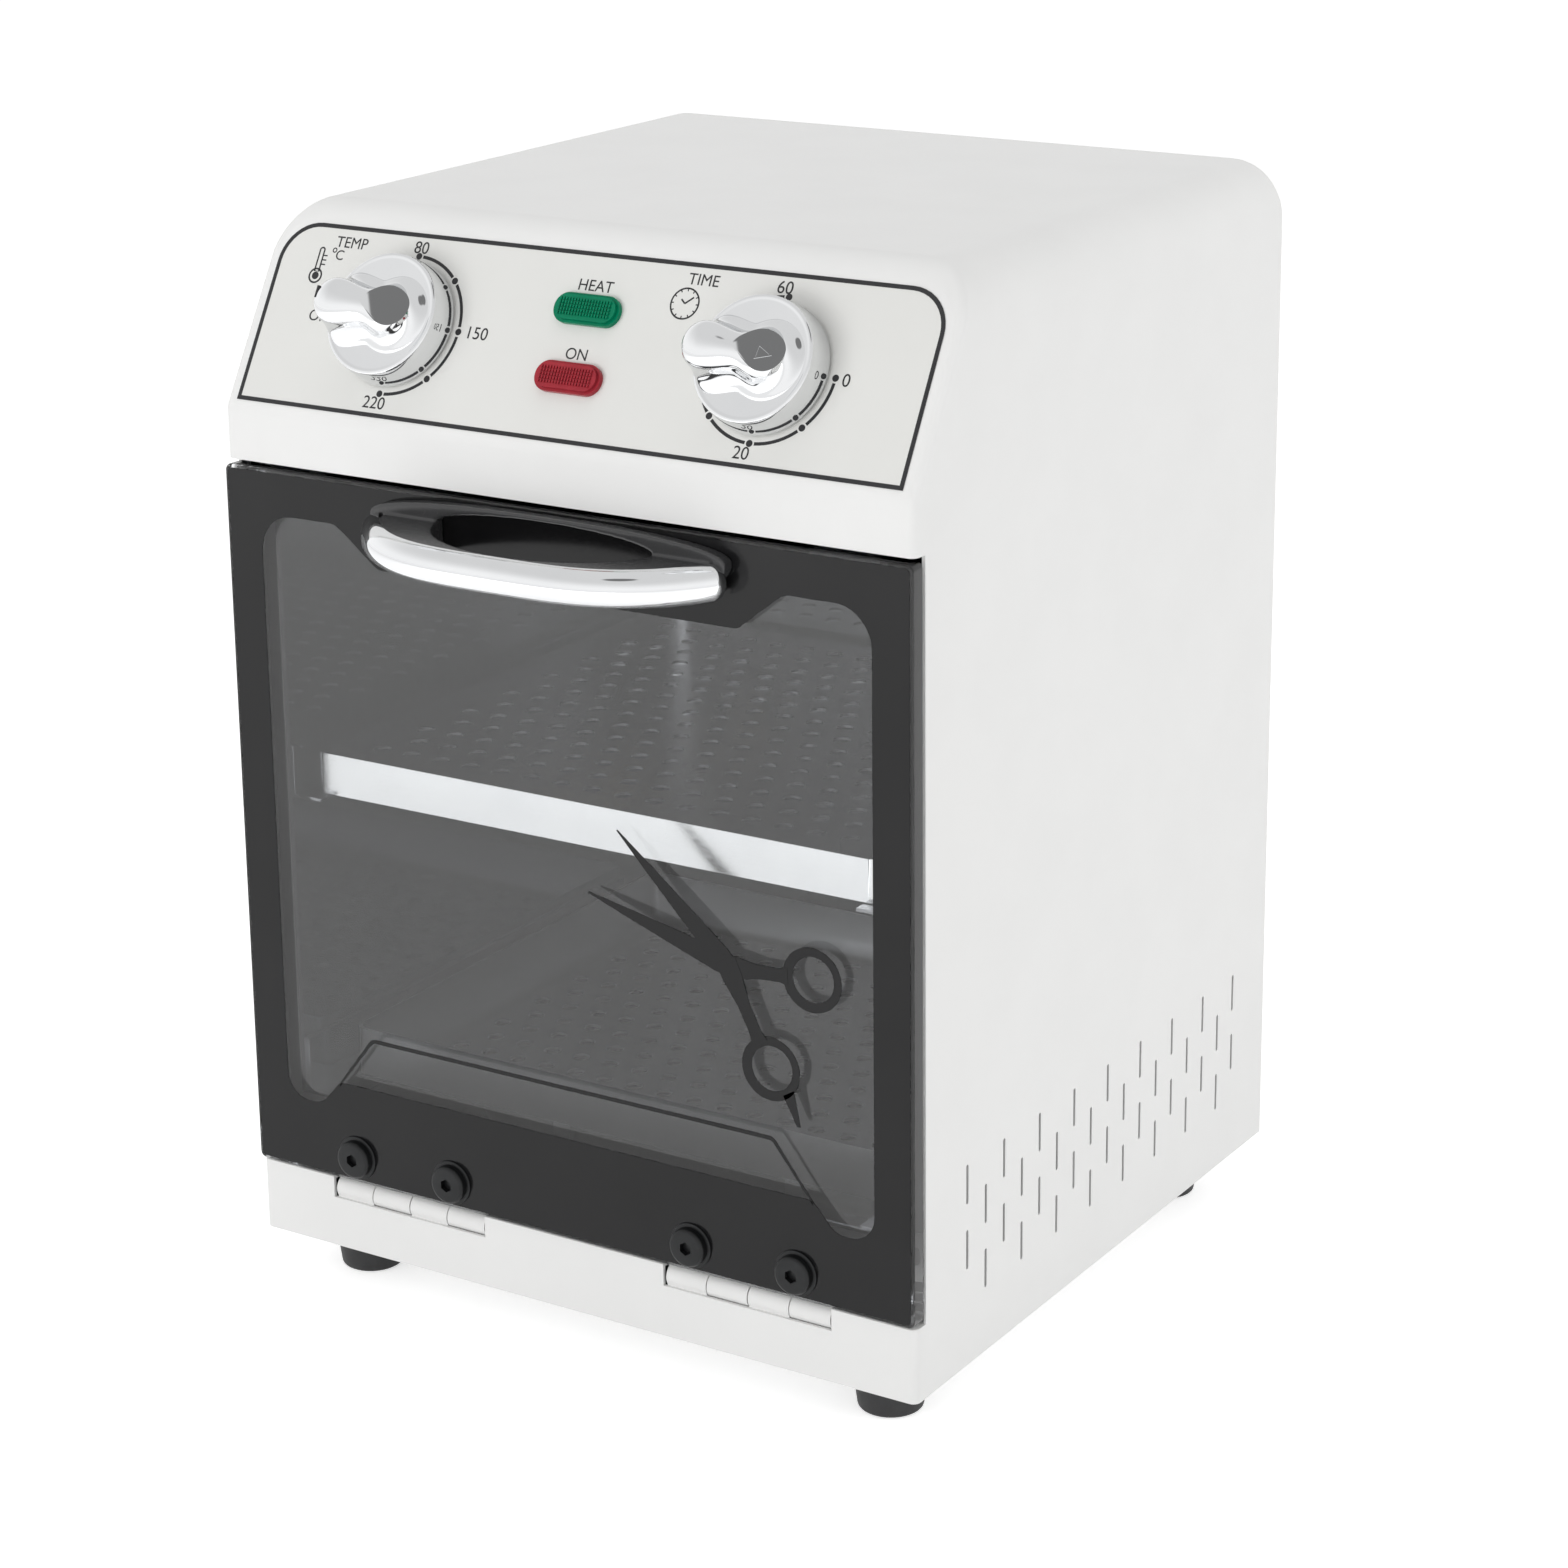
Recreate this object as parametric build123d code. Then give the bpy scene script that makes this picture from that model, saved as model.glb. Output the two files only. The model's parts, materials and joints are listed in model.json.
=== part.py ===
from build123d import *
import math
import os

# Dry heat sterilizer: a bench-top cabinet with a drop-down glass door, two perforated trays and two dials.
# Millimetres. +X is to the right, +Y to the rear, +Z up. The pieces are laid out about the middle of the
# cabinet's floor plan, and every piece is moved by ORIGIN_SHIFT when it is written, so that the origin
# lies on the table, under the middle of the whole object.

# ---------------------------------------------------------------- cabinet
BODY_WIDTH = 220.0
BODY_DEPTH = 210.0
BODY_HEIGHT = 300.0
SHEET = 1.0
LONG_EDGE_RADIUS = 16.0
TOP_FRONT_RADIUS = 10.0
FASCIA_HEIGHT = 69.0
FASCIA_STRIP = 15.2
FASCIA_ANGLE = 60.0
REAR_FLANGE = 10.0
PAN_FLANGE = 12.0
SILL_HEIGHT = 21.5
SILL_ROLL = 4.0

# feet
FOOT_HEIGHT = 15.0
FOOT_TOP_RADIUS = 11.0
FOOT_BOTTOM_RADIUS = 9.0
FOOT_EDGE_ROUND = 1.4
FOOT_INSET_X = 21.2
FOOT_INSET_Y = 22.6
FOOT_WELL_RADIUS = 4.6
FOOT_WELL_DEPTH = 9.0
FOOT_SCREW_RADIUS = 2.0

# side vents
VENT_PITCH = 10.07
VENT_FRONT_MARGIN = 27.1
VENT_REAR_MARGIN = 21.8
VENT_TOP = 58.6
VENT_ROW_STEP = 9.43
VENT_LENGTH = 11.4
VENT_WIDTH = 1.2

# ---------------------------------------------------------------- heating chamber
LINER_SHEET = 0.8
LINER_CORNER = 4.0
CHAMBER_SIDE_GAP = 10.2
CHAMBER_REAR_GAP = 23.2
CHAMBER_FLOOR = 30.0
CHAMBER_TOP_BELOW_FASCIA = 14.0
THRESHOLD = 43.0
FRAME_SETBACK = 9.0
FRAME_BELOW_FOLD = 3.2
PAD = 10.0
PAD_SIDE_START = 65.0
PAD_END_GAP = 18.0
TOP_PAD_LENGTH = 140.0

GASKET_WIDTH = 4.0
GASKET_FROM_OPENING = 1.5
MAGNET_LENGTH = 20.0
MAGNET_HEIGHT = 5.5
MAGNET_X = 88.0
STRIKE_THICKNESS = 0.5

# ---------------------------------------------------------------- trays
TRAY_SHEET = 0.8
TRAY_CORNER = 3.0
TRAY_HOLE_RADIUS = 2.5
TRAY_HOLE_PITCH = 10.3
TRAY_REAR_GAP = 5.0
UPPER_TRAY_LIP = 12.0
UPPER_TRAY_FRONT = 13.0
UPPER_TRAY_SIDE_GAP = 5.5
UPPER_TRAY_HEIGHT = 133.6
LOWER_TRAY_LIP = 14.5
LOWER_TRAY_FRONT = 25.0
LOWER_TRAY_SIDE_GAP = 6.0
LOWER_TRAY_CLEARANCE = 0.8
RAIL_SHEET = 1.0
RAIL_FLANGE = 10.0
RAIL_HEIGHT = 16.0
RAIL_LIP = 4.0
RAIL_REAR_GAP = 4.0

# ---------------------------------------------------------------- heating and control parts
HEATER_RADIUS = 3.25
HEATER_X = 75.0
HEATER_FRONT_SETBACK = 50.0
HEATER_WALL_GAP = 6.5
HEATER_BEND = 14.0
HEATER_TAIL = 15.0
HEATER_PIN_RADIUS = 1.5
HEATER_PIN_LENGTH = 5.0
HEATER_CLIP_X = 40.0
HEATER_CLIP_WIDTH = 6.0
HEATER_CLIP_WALL = 2.0
BUSHING_RADIUS = 7.0
BUSHING_NECK_RADIUS = 5.0
BUSHING_LENGTH = 8.0

BULB_RADIUS = 2.5
BULB_LENGTH = 52.0
BULB_FROM_WALL = 10.0
BULB_BELOW_CEILING = 17.0
BULB_REAR_GAP = 18.0
CAPILLARY_RADIUS = 0.8
CAPILLARY_RISE = 13.0
CAPILLARY_BEND = 5.0
CAPILLARY_HOLE_RADIUS = 2.0

DIAL_X = 59.0
DIAL_UP = 28.35
SHAFT_RADIUS = 3.0
SHAFT_FLAT = 1.0
SHAFT_HOLE_RADIUS = 4.0
SHAFT_DEPTH = 12.0
CONTROL_PLATE = 1.5
CONTROL_PLATE_WIDTH = 44.0
CONTROL_PLATE_HEIGHT = 26.0
THERMOSTAT_RADIUS = 17.0
THERMOSTAT_DEPTH = 27.0
TIMER_SIDE = 38.0
TIMER_DEPTH = 26.0
CONTROL_SCREW_X = 14.0
CONTROL_SCREW_RADIUS = 1.5

KNOB_GAP = 1.0
KNOB_BASE_RADIUS = 18.0
KNOB_RIM_RADIUS = 17.0
KNOB_SKIRT_HEIGHT = 8.5
KNOB_DOME = 1.2
KNOB_EDGE = 2.0
KNOB_HEIGHT = 18.5
KNOB_BORE_DEPTH = 8.0
GRIP_LOBE_X = -10.4
GRIP_LOBE_RADIUS = 4.8
GRIP_WAIST_X = -2.0
GRIP_WAIST = 3.6
GRIP_FLARE_X = 8.5
GRIP_FLARE = 7.2
GRIP_END_X = 12.0
GRIP_SLOPE_START_X = -3.0
GRIP_SLOPE_DROP = 6.5

LAMP_X = 0.0
GREEN_LAMP_UP = 38.35
RED_LAMP_UP = 19.35
LAMP_LENGTH = 20.7
LAMP_HEIGHT = 8.5
LAMP_RIM = 1.3
LAMP_RISE = 3.0
LAMP_STEP = 1.5
LAMP_BODY_LENGTH = 16.4
LAMP_BODY_HEIGHT = 5.2
LAMP_BODY_DEPTH = 15.0

SHELF_LIP = 8.0
TERMINAL_LENGTH = 50.0
TERMINAL_DEPTH = 18.0
TERMINAL_HEIGHT = 16.0
TERMINAL_WAYS = 5
CUTOUT_RADIUS = 8.0
CUTOUT_HEIGHT = 8.0
CUTOUT_X = 58.0

INLET_X = -62.0
INLET_BELOW_TOP = 35.0
INLET_FLANGE_LENGTH = 48.0
INLET_FLANGE_HEIGHT = 26.0
INLET_FLANGE = 2.5
INLET_BODY_LENGTH = 27.4
INLET_BODY_HEIGHT = 19.6
INLET_BODY_DEPTH = 22.0
SOCKET_LENGTH = 24.4
SOCKET_HEIGHT = 16.6
SOCKET_DEPTH = 16.5
PIN_SPACING = 7.0
PIN_WIDTH = 2.0
PIN_HEIGHT = 4.0
INLET_SCREW_X = 20.0

REAR_SCREW_HEAD_RADIUS = 3.5
REAR_SCREW_HEAD = 1.8
REAR_SCREW_RADIUS = 1.7
REAR_SCREW_LENGTH = 7.0
REAR_VENT_WIDTH = 2.5
REAR_VENT_LENGTH = 28.0
REAR_VENT_PITCH = 7.0
REAR_VENT_COUNT = 6
REAR_VENT_X = 45.0

# ---------------------------------------------------------------- door
GLASS = 5.0
GLASS_CORNER = 2.0
DOOR_BOTTOM_GAP = 0.7
DOOR_TOP_GAP = 1.3
DOOR_SIDE_GAP = 1.0
DOOR_BOLT_HEIGHT = 30.0
DOOR_BOLT_RADIUS = 2.5
BOLT_HOLE_CLEARANCE = 0.4
BOLT_HEAD_RADIUS = 5.5
BOLT_HEAD = 2.5
BOLT_SOCKET_RADIUS = 1.7
BOLT_SOCKET_DEPTH = 1.5
WASHER = 0.6
WASHER_RADIUS = 6.5
BOLT_NUT = 2.4
BOLT_NUT_FLATS = 8.0

HINGE_X = 57.0
HINGE_WIDTH = 52.5
HINGE_BOLT_X = 16.75
HINGE_RADIUS = 3.6
HINGE_PIN_RADIUS = 1.5
KNUCKLES = 4
KNUCKLE_GAP = 0.3
LEAF = 1.2
LEAF_TOP = 37.0
FIXED_LEAF = 1.0
FIXED_LEAF_HEIGHT = 12.0
NOTCH_SIDE_GAP = 0.6

HANDLE_HALF_LENGTH = 57.3
HANDLE_REACH = 31.3
HANDLE_BELOW_DOOR_TOP = 16.15
HANDLE_HEIGHT = 10.1
HANDLE_EXPONENT = 2.56
HANDLE_TRIM = 5.0
HANDLE_ROUND = 4.2
HANDLE_RECESS = 0.5
HANDLE_BASE = 4.0
HANDLE_BASE_HALF_LENGTH = 57.0
HANDLE_BASE_DROP = 4.05
HANDLE_ARCH_RISE = 5.2
FINGER_HALF_LENGTH = 35.0
FINGER_FRONT_WALL = 7.5
HANDLE_SCREW_X = 40.0
HANDLE_SCREW_UP = 0.95
HANDLE_SCREW_RADIUS = 1.75
HANDLE_SCREW_HEAD_RADIUS = 3.2
HANDLE_SCREW_HEAD = 2.0
HANDLE_SCREW_DEPTH = 13.0
HANDLE_BOSS_RADIUS = 4.5

# ---------------------------------------------------------------- fits
SLIDE_GAP = 0.3
FIT = 0.05
RUNNING_FIT = 0.08

# ---------------------------------------------------------------- places worked out from the sizes
HALF_WIDTH = BODY_WIDTH / 2
INNER_X = HALF_WIDTH - SHEET
FRONT_Y = -BODY_DEPTH / 2
BACK_Y = BODY_DEPTH / 2
BASE_Z = FOOT_HEIGHT
TOP_Z = BASE_Z + BODY_HEIGHT
FASCIA_BOTTOM_Z = TOP_Z - FASCIA_HEIGHT
FOLD_Z = FASCIA_BOTTOM_Z + FASCIA_STRIP
SLOPE_SIN = math.sin(math.radians(FASCIA_ANGLE))
SLOPE_COS = math.cos(math.radians(FASCIA_ANGLE))
FASCIA = Plane(origin=(0, FRONT_Y, FOLD_Z), x_dir=(1, 0, 0), z_dir=(0, -SLOPE_SIN, SLOPE_COS)).location

SILL_TOP_Z = BASE_Z + SILL_HEIGHT
HINGE_Y = FRONT_Y + SILL_ROLL
HINGE_Z = SILL_TOP_Z - SILL_ROLL
GLASS_REAR_Y = HINGE_Y
GLASS_FRONT_Y = GLASS_REAR_Y - GLASS
SIDE_EDGE_Y = GLASS_REAR_Y + DOOR_SIDE_GAP
DOOR_BOTTOM_Z = SILL_TOP_Z + DOOR_BOTTOM_GAP
DOOR_TOP_Z = FASCIA_BOTTOM_Z - DOOR_TOP_GAP

CHAMBER_X = INNER_X - CHAMBER_SIDE_GAP - LINER_SHEET
LINER_X = CHAMBER_X + LINER_SHEET
FRAME_Y = FRONT_Y + FRAME_SETBACK
CHAMBER_FRONT_Y = FRAME_Y + SHEET
PANEL_INNER_Y = BACK_Y - SHEET
LINER_REAR_Y = PANEL_INNER_Y - CHAMBER_REAR_GAP
CHAMBER_REAR_Y = LINER_REAR_Y - LINER_SHEET
CHAMBER_FLOOR_Z = BASE_Z + CHAMBER_FLOOR
CHAMBER_TOP_Z = FASCIA_BOTTOM_Z - CHAMBER_TOP_BELOW_FASCIA
LINER_TOP_Z = CHAMBER_TOP_Z + LINER_SHEET
THRESHOLD_Z = BASE_Z + THRESHOLD
FRAME_TOP_Z = FOLD_Z - FRAME_BELOW_FOLD
SHELF_Z = LINER_TOP_Z + PAD
SHELF_REAR_Y = CHAMBER_FRONT_Y + TOP_PAD_LENGTH

UPPER_TRAY_Z = BASE_Z + UPPER_TRAY_HEIGHT
LOWER_TRAY_Z = THRESHOLD_Z + LOWER_TRAY_CLEARANCE
TRAY_REAR_Y = CHAMBER_REAR_Y - TRAY_REAR_GAP
UPPER_HEATER_Z = CHAMBER_TOP_Z - HEATER_WALL_GAP
LOWER_HEATER_Z = CHAMBER_FLOOR_Z + HEATER_WALL_GAP
HEATER_FRONT_Y = FRAME_Y + HEATER_FRONT_SETBACK

HANDLE_Z = DOOR_TOP_Z - HANDLE_BELOW_DOOR_TOP
HANDLE_TOP_Z = HANDLE_Z + HANDLE_HEIGHT
HANDLE_SCREW_Z = HANDLE_Z + HANDLE_SCREW_UP
DOOR_BOLT_Z = BASE_Z + DOOR_BOLT_HEIGHT
INLET_Z = TOP_Z - INLET_BELOW_TOP

HINGE_CENTRES = [-HINGE_X, HINGE_X]
DOOR_BOLT_XS = [centre + side * HINGE_BOLT_X for centre in HINGE_CENTRES for side in (-1, 1)]
HANDLE_SCREW_XS = [-HANDLE_SCREW_X, HANDLE_SCREW_X]
FOOT_X = HALF_WIDTH - FOOT_INSET_X
FOOT_Y = BODY_DEPTH / 2 - FOOT_INSET_Y
FOOT_PLACES = [(x, y) for x in (-FOOT_X, FOOT_X) for y in (-FOOT_Y, FOOT_Y)]
HEATER_PLACES = [(x, z) for x in (-HEATER_X, HEATER_X) for z in (LOWER_HEATER_Z, UPPER_HEATER_Z)]

FRONT_REACH_Y = GLASS_FRONT_Y - HANDLE_REACH
REAR_REACH_Y = BACK_Y + INLET_FLANGE
ORIGIN_SHIFT = -(FRONT_REACH_Y + REAR_REACH_Y) / 2
OVERRUN = 2.0


# ---------------------------------------------------------------- shared shapes
def block(x0, x1, y0, y1, z0, z1):
    """Box between two corners."""
    return Pos((x0 + x1) / 2, (y0 + y1) / 2, (z0 + z1) / 2) * Box(x1 - x0, y1 - y0, z1 - z0)


def bar_x(y, z, radius, x0, x1):
    """Round bar along X."""
    return Pos((x0 + x1) / 2, y, z) * Rot(0, 90, 0) * Cylinder(radius, x1 - x0)


def bar_y(x, z, radius, y0, y1):
    """Round bar along Y."""
    return Pos(x, (y0 + y1) / 2, z) * Rot(90, 0, 0) * Cylinder(radius, y1 - y0)


def bar_z(x, y, radius, z0, z1):
    """Round bar along Z."""
    return Pos(x, y, (z0 + z1) / 2) * Cylinder(radius, z1 - z0)


def hexagon_y(x, z, flats, y0, y1):
    """Hexagonal bar along Y, such as a nut's outline."""
    outline = RegularPolygon(flats / 2, 6, major_radius=False)
    return Pos(x, y1, z) * Rot(90, 0, 0) * extrude(outline, amount=y1 - y0)


def all_of(pieces):
    """One node of several separate solids."""
    return Compound([solid for piece in pieces for solid in piece.solids()])


def portal(inset, y0, y1, below=0.0):
    """Slice of the cabinet's cross-section, with rounded top corners, drawn in by inset."""
    half = HALF_WIDTH - inset
    height = TOP_Z - inset - (BASE_Z - below)
    outline = Pos(0, BASE_Z - below + height / 2) * Rectangle(2 * half, height)
    top_corners = outline.vertices().group_by(Axis.Y)[-1]
    outline = fillet(top_corners, LONG_EDGE_RADIUS - inset)
    return Pos(0, y1, 0) * Rot(90, 0, 0) * extrude(outline, amount=y1 - y0)


def cabinet_block(inset, below, behind):
    """Solid within the cabinet's outline, drawn in by inset, run on below and behind."""
    front = FRONT_Y + inset
    top = TOP_Z - inset
    fold = FOLD_Z - inset * (1 - SLOPE_SIN) / SLOPE_COS
    slope_top = front + (top - fold) * SLOPE_COS / SLOPE_SIN
    bottom = BASE_Z - below
    rear = BACK_Y + behind
    outline = make_face(Polyline(
        (front, bottom), (front, fold), (slope_top, top), (rear, top), (rear, bottom), close=True))
    crest = outline.vertices().sort_by_distance((slope_top, top, 0))[0]
    outline = fillet(crest, TOP_FRONT_RADIUS - inset)
    side_view = Plane.YZ.location * extrude(outline, amount=HALF_WIDTH, both=True)
    return side_view & portal(inset, front - OVERRUN, rear + OVERRUN, below)


def swept_tube(radius, points, radii):
    """Round tube along straight runs joined by tangent arcs."""
    path = FilletPolyline(*points, radius=radii)
    start = Vector(*points[0])
    heading = Vector(*points[1]) - start
    section = Plane(origin=start, z_dir=heading).location * Circle(radius)
    return sweep(section, path=path)


def on_fascia(x, up, out, shape):
    """Shape laid out on the sloped panel: x along it, up the slope, out from its surface."""
    return FASCIA * Pos(x, up, out) * shape


# ---------------------------------------------------------------- casing
def rear_screw_places():
    """Places of the screws that hold the rear panel, on the flange's middle line."""
    side_x = INNER_X - REAR_FLANGE / 2
    sides = [(x, BASE_Z + share * BODY_HEIGHT) for x in (-side_x, side_x) for share in (0.2, 0.5, 0.85)]
    tops = [(x, TOP_Z - SHEET - REAR_FLANGE / 2) for x in (-HINGE_X, HINGE_X)]
    bottoms = [(x, BASE_Z + PAN_FLANGE / 2) for x in (-HINGE_X, HINGE_X)]
    return sides + tops + bottoms


def rear_screw_holes():
    """Clearance holes for the rear panel's screws."""
    radius = REAR_SCREW_RADIUS + FIT
    return [bar_y(x, z, radius, BACK_Y - 3 * SHEET, BACK_Y + OVERRUN) for x, z in rear_screw_places()]


def vent_slots():
    """Staggered vertical slots that run through both side sheets."""
    columns = 1 + round((BODY_DEPTH - VENT_FRONT_MARGIN - VENT_REAR_MARGIN) / VENT_PITCH)
    slot = extrude(Rot(0, 0, 90) * SlotOverall(VENT_LENGTH, VENT_WIDTH), amount=HALF_WIDTH + OVERRUN, both=True)
    slots = []
    for column in range(columns):
        for row in (column % 2, column % 2 + 2):
            y = FRONT_Y + VENT_FRONT_MARGIN + column * VENT_PITCH
            z = BASE_Z + VENT_TOP - VENT_LENGTH / 2 - row * VENT_ROW_STEP
            slots.append(Plane(origin=(0, y, z), x_dir=(0, 1, 0), z_dir=(1, 0, 0)).location * slot)
    return slots


def fascia_holes():
    """Holes for the two shafts, their screws and the two lamps."""
    depth = 6 * SHEET
    holes = []
    for x in (-DIAL_X, DIAL_X):
        holes.append(on_fascia(x, DIAL_UP, 0, Cylinder(SHAFT_HOLE_RADIUS, depth)))
        for side in (-1, 1):
            place = x + side * CONTROL_SCREW_X
            holes.append(on_fascia(place, DIAL_UP, 0, Cylinder(CONTROL_SCREW_RADIUS + FIT, depth)))
    window = extrude(SlotOverall(LAMP_BODY_LENGTH + 2 * FIT, LAMP_BODY_HEIGHT + 2 * FIT), amount=depth / 2, both=True)
    holes += [on_fascia(LAMP_X, up, 0, window) for up in (GREEN_LAMP_UP, RED_LAMP_UP)]
    return holes


def outer_shell():
    """Painted wrap: two sides, top and sloped fascia, with a flange for the rear panel."""
    shell = cabinet_block(0, 0, 0) - cabinet_block(SHEET, OVERRUN, OVERRUN)
    flange = portal(SHEET, BACK_Y - 2 * SHEET, PANEL_INNER_Y)
    flange -= portal(SHEET + REAR_FLANGE, BACK_Y - 3 * SHEET, BACK_Y, OVERRUN)
    flange -= block(-HALF_WIDTH, HALF_WIDTH, FRONT_Y, BACK_Y, 0, BASE_Z + PAN_FLANGE + SHEET)
    shell += flange
    wide = HALF_WIDTH + OVERRUN
    ahead = FRONT_Y - OVERRUN
    shell -= block(-INNER_X, INNER_X, ahead, FRONT_Y + 2 * SHEET, BASE_Z - OVERRUN, FASCIA_BOTTOM_Z)
    shell -= block(-wide, wide, ahead, SIDE_EDGE_Y, SILL_TOP_Z, FASCIA_BOTTOM_Z)
    shell -= block(-wide, wide, ahead, FRONT_Y + SHEET, BASE_Z - OVERRUN, HINGE_Z)
    corner = block(-wide, wide, ahead, HINGE_Y, HINGE_Z, SILL_TOP_Z)
    shell -= corner - bar_x(HINGE_Y, HINGE_Z, SILL_ROLL, -wide, wide)
    return shell - vent_slots() - fascia_holes() - rear_screw_holes()


def base_pan():
    """Floor of the cabinet with its upturned flanges and the front sill, notched for the hinges."""
    pan = block(-INNER_X, INNER_X, FRONT_Y + SHEET, PANEL_INNER_Y, BASE_Z, BASE_Z + SHEET)
    pan += block(-HALF_WIDTH, HALF_WIDTH, FRONT_Y, FRONT_Y + SHEET, BASE_Z, HINGE_Z)
    roll = bar_x(HINGE_Y, HINGE_Z, SILL_ROLL, -INNER_X, INNER_X)
    roll -= bar_x(HINGE_Y, HINGE_Z, SILL_ROLL - SHEET, -HALF_WIDTH, HALF_WIDTH)
    pan += roll & block(-INNER_X, INNER_X, FRONT_Y, HINGE_Y, HINGE_Z, SILL_TOP_Z)
    pan += block(-INNER_X, INNER_X, HINGE_Y, FRAME_Y, SILL_TOP_Z - SHEET, SILL_TOP_Z)
    flange_top = BASE_Z + PAN_FLANGE
    for side in (-1, 1):
        outer, inner = side * INNER_X, side * (INNER_X - SHEET)
        pan += block(min(outer, inner), max(outer, inner), CHAMBER_FRONT_Y, PANEL_INNER_Y, BASE_Z, flange_top)
    pan += block(-INNER_X, INNER_X, PANEL_INNER_Y - SHEET, PANEL_INNER_Y, BASE_Z, flange_top)
    half_notch = HINGE_WIDTH / 2 + NOTCH_SIDE_GAP
    inner_face = HINGE_Y - (FRONT_Y + SHEET) - SLIDE_GAP
    notch_z = HINGE_Z - math.sqrt(HINGE_RADIUS ** 2 - inner_face ** 2) - FIT
    for centre in HINGE_CENTRES:
        left, right = centre - half_notch, centre + half_notch
        pan -= block(left, right, FRONT_Y - OVERRUN, FRAME_Y, notch_z, SILL_TOP_Z + OVERRUN)
    pan -= [bar_z(x, y, FOOT_SCREW_RADIUS + FIT, 0, TOP_Z) for x, y in FOOT_PLACES]
    return pan - rear_screw_holes()


def rear_panel():
    """Flat back with vent slots and the cut-out for the mains inlet."""
    panel = portal(SHEET, PANEL_INNER_Y, BACK_Y)
    slot = Rot(90, 0, 0) * extrude(SlotOverall(REAR_VENT_LENGTH, REAR_VENT_WIDTH), amount=2 * SHEET, both=True)
    for row in range(REAR_VENT_COUNT):
        for x in (-REAR_VENT_X, 0, REAR_VENT_X):
            panel -= Pos(x, BACK_Y, THRESHOLD_Z + row * REAR_VENT_PITCH) * slot
        panel -= Pos(REAR_VENT_X, BACK_Y, INLET_Z + (row - REAR_VENT_COUNT / 2) * REAR_VENT_PITCH) * slot
    half_length = INLET_BODY_LENGTH / 2 + FIT
    half_height = INLET_BODY_HEIGHT / 2 + FIT
    panel -= block(INLET_X - half_length, INLET_X + half_length, BACK_Y - 2 * SHEET, BACK_Y + OVERRUN,
                   INLET_Z - half_height, INLET_Z + half_height)
    for side in (-1, 1):
        panel -= bar_y(INLET_X + side * INLET_SCREW_X, INLET_Z, CONTROL_SCREW_RADIUS + FIT, 0, BACK_Y + OVERRUN)
    return panel - rear_screw_holes()


def rear_screws():
    """Pan-head screws of the rear panel."""
    screws = []
    for x, z in rear_screw_places():
        shank = bar_y(x, z, REAR_SCREW_RADIUS, BACK_Y - REAR_SCREW_LENGTH, BACK_Y)
        head = bar_y(x, z, REAR_SCREW_HEAD_RADIUS, BACK_Y, BACK_Y + REAR_SCREW_HEAD)
        slot = block(x - 0.5, x + 0.5, BACK_Y + REAR_SCREW_HEAD / 2, BACK_Y + OVERRUN, z - 2, z + 2)
        cross = block(x - 2, x + 2, BACK_Y + REAR_SCREW_HEAD / 2, BACK_Y + OVERRUN, z - 0.5, z + 0.5)
        screws.append(shank + head - slot - cross)
    return all_of(screws)


def foot(x, y):
    """Tapered rubber foot with a well for its screw."""
    outline = make_face(Polyline(
        (0, 0), (FOOT_BOTTOM_RADIUS, 0), (FOOT_TOP_RADIUS, FOOT_HEIGHT), (0, FOOT_HEIGHT), close=True))
    rim = outline.vertices().sort_by_distance((FOOT_BOTTOM_RADIUS, 0, 0))[0]
    outline = fillet(rim, FOOT_EDGE_ROUND)
    body = revolve(Rot(90, 0, 0) * outline, Axis.Z)
    body -= bar_z(0, 0, FOOT_WELL_RADIUS, -OVERRUN, FOOT_WELL_DEPTH)
    body -= bar_z(0, 0, FOOT_SCREW_RADIUS + FIT, 0, FOOT_HEIGHT + OVERRUN)
    return Pos(x, y, 0) * body


def foot_screw(x, y):
    """Screw that stands up through a foot and the base pan."""
    head = bar_z(x, y, 2 * FOOT_SCREW_RADIUS, FOOT_WELL_DEPTH - 2.6, FOOT_WELL_DEPTH)
    return head + bar_z(x, y, FOOT_SCREW_RADIUS, FOOT_WELL_DEPTH, BASE_Z + SHEET + 5)


def foot_nut(x, y):
    """Hexagonal nut on the pan's floor."""
    outline = RegularPolygon(3.5, 6, major_radius=False)
    nut = Pos(x, y, BASE_Z + SHEET) * extrude(outline, amount=3.2)
    return nut - bar_z(x, y, FOOT_SCREW_RADIUS + FIT, BASE_Z, TOP_Z)


# ---------------------------------------------------------------- chamber
def front_frame():
    """Sheet frame round the chamber's mouth, flanged forward under the fascia."""
    frame = block(-INNER_X, INNER_X, FRAME_Y, CHAMBER_FRONT_Y, BASE_Z + SHEET, FRAME_TOP_Z)
    frame -= block(-CHAMBER_X, CHAMBER_X, FRAME_Y - 1, CHAMBER_FRONT_Y + 1, THRESHOLD_Z, CHAMBER_TOP_Z)
    return frame + block(-INNER_X, INNER_X, FRONT_Y + SHEET, FRAME_Y, FRAME_TOP_Z - SHEET, FRAME_TOP_Z)


def liner_box(wall, front, rear_extra):
    """Chamber-shaped block with rounded long edges, grown by wall."""
    box = block(-CHAMBER_X - wall, CHAMBER_X + wall, front, CHAMBER_REAR_Y + rear_extra,
                CHAMBER_FLOOR_Z - wall, CHAMBER_TOP_Z + wall)
    return fillet(box.edges().filter_by(Axis.Y), LINER_CORNER + wall)


def sensor_centre():
    """X, rear Y and Z of the sensor bulb's axis."""
    return (-CHAMBER_X + BULB_FROM_WALL, CHAMBER_REAR_Y - BULB_REAR_GAP, CHAMBER_TOP_Z - BULB_BELOW_CEILING)


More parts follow.
